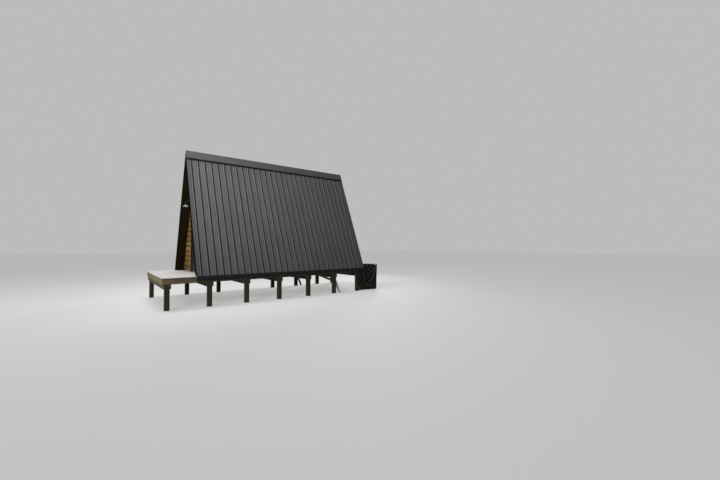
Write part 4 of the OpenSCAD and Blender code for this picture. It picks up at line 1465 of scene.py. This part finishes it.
lamp_enamel = metal_material("lamp_enamel", colour=(0.04, 0.034, 0.044, 1), dirt=(0.03, 0.027, 0.025, 1),
                             rough=0.35, dirt_amount=0.3, specular=0.3)
lamp_white = metal_material("lamp_white", colour=(0.92, 0.92, 0.91, 1), dirt=(0.45, 0.42, 0.36, 1),
                            rough=0.5, dirt_amount=0.06)
arm_black = metal_material("arm_black", colour=(0.012, 0.011, 0.013, 1), dirt=(0.03, 0.027, 0.024, 1),
                           rough=0.45, dirt_amount=0.2, specular=0.2)
outside = [(shade_radius + across, height) for across, height in outer_brim]
outside += [dome_point(step, 0.0) for step in range(dome_steps + 1)]
outside += [(socket_radius, shade_height - socket_round), (socket_radius - socket_round, shade_height),
            (0.0, shade_height)]
inside = [(0.0, shade_height - shade_skin), (socket_radius - shade_skin, shade_height - shade_skin)]
inside += [dome_point(step, shade_skin) for step in range(dome_steps, -1, -1)]
inside += [(shade_radius + across, height) for across, height in inner_brim]
white_steps = set(range(len(outer_brim))) | set(range(len(outside), len(outside) + len(inside)))
mesh = turned_shell("lamp_spun_shade", outside + inside, white_steps)
finish_piece("lamp_spun_shade", mesh, [lamp_enamel, lamp_white], ["lamp_shade"])
turned_piece("lamp_arm", "lamp_bracket", arm_black, smooth=40)
globe_glass, tree, shader = new_material("globe_glass")
feed(tree, shader.inputs, {
    "Base Color": (0.86, 0.85, 0.8, 1.0), "Transmission Weight": 0.5, "Roughness": 0.5})
bump(tree, shader, noise(tree, object_place(tree), 60.0, 2.0), 0.0004)
turned_piece("frosted_globe", "lamp_globe", globe_glass, smooth=50)

# Hung sheet: black woven plastic, nailed along the rail and the rim and weighted at its lower left corner.
# It is cut wider than its place, so its slack hangs in folds that run down from its upper right corner.
# Each fold is a bent line from a start through a bend to an end, as (x, z), with its height and width.
rail_low, rail_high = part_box("rear_rail")
hung_low, hung_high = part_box("hung_sheet")
rail_fall = 0.045
cut_width = 1.13
cut_behind = 0.07
cut_columns = 76
cut_step = 0.015
front_clear = 0.006
face_off = 0.003
top_off = 0.001
hem_lean = 0.035
hem_rise = 0.012
over_post = 0.03
notch_top = 0.905
notch_past = 0.004
nail_parts = (0.235, 0.45, 0.74, 0.985)
on_rail_from = 0.002
rim_nail_columns = (1, 12)
rim_nail_reach = 0.03
edge_hold_rows = 14
cloth_thick = 0.0012
cloth_frames = 50
crest_turns = 30
crest_height = 0.009
folds = (((4.26, 1.09), (4.14, 0.46), (3.58, 0.28), 0.040, 0.032),
         ((4.20, 1.10), (4.06, 0.86), (3.87, 0.80), 0.036, 0.026),
         ((3.70, 1.12), (3.76, 0.92), (3.87, 0.80), 0.030, 0.026),
         ((4.27, 1.00), (4.22, 0.40), (3.96, 0.06), 0.012, 0.034),
         ((3.36, 0.86), (3.42, 0.45), (3.70, 0.14), 0.014, 0.036))
fold_steps = 64
nail_washer = (0.012, 0.001, 12)
nail_head = (0.005, 0.002, 10)
nail_lift = 0.005
hem_z = hung_low.z + hem_rise
rail_wide = rail_high.y - rail_low.y
top_length = rail_wide + 2 * front_clear
face_length = rail_high.z + face_off - hem_z
cut_length = face_length + top_length + cut_behind
cut_rows = round(cut_length / cut_step)
nail_columns = [round(cut_columns * part) for part in nail_parts]


def fold_line(start, bend, end):
    """The points of a fold's bent line."""
    parts = [step / fold_steps for step in range(fold_steps + 1)]
    return [[(1 - part) ** 2 * start[axis] + 2 * part * (1 - part) * bend[axis] + part ** 2 * end[axis]
             for axis in (0, 1)] for part in parts]


fold_lines = [(fold_line(start, bend, end), height, width) for start, bend, end, height, width in folds]


def rail_top(x):
    """The height of the rail's sloping top."""
    along = (x - rail_low.x) / (rail_high.x - rail_low.x)
    return rail_high.z - rail_fall * max(along, 0.0)


def fold_height(x, z):
    """How far the folds stand out at a place of the face."""
    out = 0.0
    for line, height, width in fold_lines:
        nearest = min(math.hypot(x - line_x, z - line_z) for line_x, line_z in line)
        out = max(out, height * math.exp(-(nearest / width) ** 2))
    return out


def sheet_pose(across, up):
    """Where a point of the cut starts: up the near side, over the rail and down behind it."""
    part = across / cut_width
    lean = hem_lean * part * (1.0 - min(up / face_length, 1.0))
    x = hung_low.x - over_post + (hung_high.x - hung_low.x + over_post) * part - lean
    face = rail_top(x) + face_off - hem_z
    if up < face:
        return Vector((x, rail_low.y - front_clear - face_off - fold_height(x, hem_z + up), hem_z + up))
    if up < face + top_length:
        return Vector((x, rail_low.y - front_clear + up - face, hem_z + face + top_off))
    return Vector((x, rail_high.y + front_clear, hem_z + face - (up - face - top_length)))


def in_cut(across, up):
    """The cut is notched at its upper left, where the roof's edge comes down over it."""
    beside_roof = sheet_pose(across, face_length).x < rail_low.x + notch_past
    return not (beside_roof and hem_z + up > notch_top)


def is_held(column, row, pose, up):
    """Whether the cloth is nailed to the rail or the rim there, or weighted or tied along its left edge."""
    beside_nail = any(abs(column - nail) <= 1 for nail in nail_columns)
    on_rail = beside_nail and pose.z > rail_top(pose.x) + on_rail_from
    on_rim = column in rim_nail_columns and notch_top - rim_nail_reach < hem_z + up
    weighted = column <= 2 and row <= 1 or column == 0 and row % edge_hold_rows == 0
    return on_rail or on_rim or weighted


sheet_points = {}
flats = []
poses = []
pinned = []
for row in range(cut_rows + 1):
    for column in range(cut_columns + 1):
        across, up = cut_width * column / cut_columns, cut_length * row / cut_rows
        if not in_cut(across, up):
            continue
        pose = sheet_pose(across, up)
        if is_held(column, row, pose, up):
            pinned.append(len(flats))
        sheet_points[(column, row)] = len(flats)
        flats.append((across, 0.0, up))
        poses.append(pose)
faces = []
for column, row in sheet_points:
    corners = [(column, row), (column + 1, row), (column + 1, row + 1), (column, row + 1)]
    if all(corner in sheet_points for corner in corners):
        faces.append([sheet_points[corner] for corner in corners])
mesh = bpy.data.meshes.new("sheet_cut")
mesh.from_pydata(poses, [], faces)
flat_attribute = mesh.attributes.new("flat", "FLOAT_VECTOR", "POINT")
for item, flat in zip(flat_attribute.data, flats):
    item.vector = (flat[0], flat[2], 0.0)

cloth_settings = {
    "quality": 8, "mass": 0.15, "tension_stiffness": 40.0, "compression_stiffness": 40.0,
    "shear_stiffness": 12.0, "bending_stiffness": 1.2, "air_damping": 2.0, "vertex_group_mass": "pins"}
cloth_gap = 0.003
backing_deep = 0.1
backing_left = 0.15
backing_right = 0.02
backing_set_back = 0.004
backing_below = 0.002


def make_backing():
    """The rail, and the platform's side below it, that the cloth falls against."""
    shape = bmesh.new()
    outline = [Vector((rail_low.x, rail_low.y, rail_low.z)), Vector((rail_high.x, rail_low.y, rail_low.z)),
               Vector((rail_high.x, rail_low.y, rail_top(rail_high.x))),
               Vector((rail_low.x, rail_low.y, rail_top(rail_low.x)))]
    add_prism(shape, outline, Vector((0.0, rail_wide, 0.0)))
    add_box(shape, (hung_low.x - backing_left, rail_low.y + backing_set_back, 0.0),
            (hung_high.x + backing_right, rail_low.y + backing_deep, rail_low.z - backing_below))
    return put("backing", close_mesh("backing", shape))


cloth_object = put("sheet_cut", mesh)
cloth_object.shape_key_add(name="start")
rest_key = cloth_object.shape_key_add(name="rest")
for item, flat in zip(rest_key.data, flats):
    item.co = flat
pins = cloth_object.vertex_groups.new(name="pins")
pins.add(pinned, 1.0, "ADD")
cloth = cloth_object.modifiers.new("cloth", "CLOTH")
for name, value in cloth_settings.items():
    setattr(cloth.settings, name, value)
cloth.settings.rest_shape_key = rest_key
cloth.collision_settings.distance_min = cloth_gap
cloth.point_cache.frame_start = 1
cloth.point_cache.frame_end = cloth_frames
backing_object = make_backing()
backing_object.modifiers.new("collision", "COLLISION")
backing_object.collision.thickness_outer = cloth_gap
for number in range(1, cloth_frames + 1):
    scene.frame_set(number)
mesh = plain_copy(cloth_object)
bpy.data.objects.remove(cloth_object)
bpy.data.objects.remove(backing_object)
scene.frame_set(1)
mesh.shade_smooth()

# The crests of the folds are what stands out from the cloth once it has been smoothed.
shape = bmesh.new()
shape.from_mesh(mesh)
for turn in range(crest_turns):
    bmesh.ops.smooth_vert(shape, verts=shape.verts, factor=0.5, use_axis_y=True)
crests = mesh.attributes.new("crest", "FLOAT", "POINT")
for item, vertex, smoothed in zip(crests.data, mesh.vertices, shape.verts):
    item.value = (smoothed.co.y - vertex.co.y) / crest_height
shape.free()

tape_pitch = 0.0026
tape_turn = math.pi / tape_pitch
tape_deep = (0.011, 0.011, 0.0105, 1)
tape_pale = (0.026, 0.027, 0.025, 1)
sheet_dust = (0.026, 0.026, 0.023, 1)
sheet_mud = (0.055, 0.048, 0.036, 1)
sheet_scuff = (0.05, 0.05, 0.048, 1)
crest_highlight = (0.075, 0.077, 0.073, 1)
valley_shade = (0.001, 0.001, 0.001, 1)
sheet_plastic, tree, shader = new_material("sheet_plastic")
flat_place = attribute(tree, "flat")
flat_parts = parts_of(tree, flat_place)
warp_tape, weft_tape = [
    maths(tree, "ABSOLUTE", maths(tree, "SINE", times(tree, flat_parts[axis], tape_turn)))
    for axis in ("X", "Y")]
weave = times(tree, warp_tape, weft_tape)
weather = place_group(tree, weather_group, {
    "Place": object_place(tree), "Stain Scale": 5.0, "Splash Top": 0.25})
creased = noise(tree, stretched(tree, flat_place, (5.0, 9.0, 1.0)), 1.0, 5.0, 0.6, 1.2)
crease = band(tree, off_half(tree, creased), 0.012, 0.0)
crest = attribute(tree, "crest", "Fac")
surface = mix(tree, weave, tape_deep, tape_pale)
surface = lay(tree, surface, weather["Stain"], 0.25, sheet_dust)
surface = lay(tree, surface, weather["Splash"], 0.4, sheet_mud)
surface = lay(tree, surface, crease, 0.3, sheet_scuff)
# Painted highlight on the crests of the folds and painted shade in their hollows; the crests also get a
# painted sheen through a higher specular level.
surface = mix(tree, band(tree, crest, 0.1, 0.9), surface, crest_highlight)
surface = mix(tree, band(tree, crest, -0.03, -0.4, 0.0, 0.95), surface, valley_shade)
feed(tree, shader.inputs, {
    "Base Color": surface, "Roughness": maths(tree, "MULTIPLY_ADD", weather["Stain"], 0.25, 0.38),
    "Specular IOR Level": band(tree, crest, -0.15, 0.5, 0.0, 0.3)})
bump(tree, shader, maths(tree, "MULTIPLY_ADD", weave, 0.3, crease), 0.0009, 0.5)

sheet_piece = finish_piece("woven_sheet", mesh, [sheet_plastic], ["hung_sheet"])
smoothing = sheet_piece.modifiers.new("smooth", "SUBSURF")
smoothing.levels = 1
smoothing.render_levels = 1
thickness = sheet_piece.modifiers.new("thickness", "SOLIDIFY")
thickness.thickness = cloth_thick
thickness.offset = 0.0
nail_points = []
for nail in nail_columns:
    x = sheet_pose(cut_width * nail / cut_columns, face_length).x
    nail_place = Vector((x, (rail_low.y + rail_high.y) / 2, rail_top(x) + nail_lift))
    nail_points.append((nail_place, Vector((0, 0, 1))))
fasten("sheet_nails", nail_points, nail_washer, nail_head, bolt_steel, seed=9)
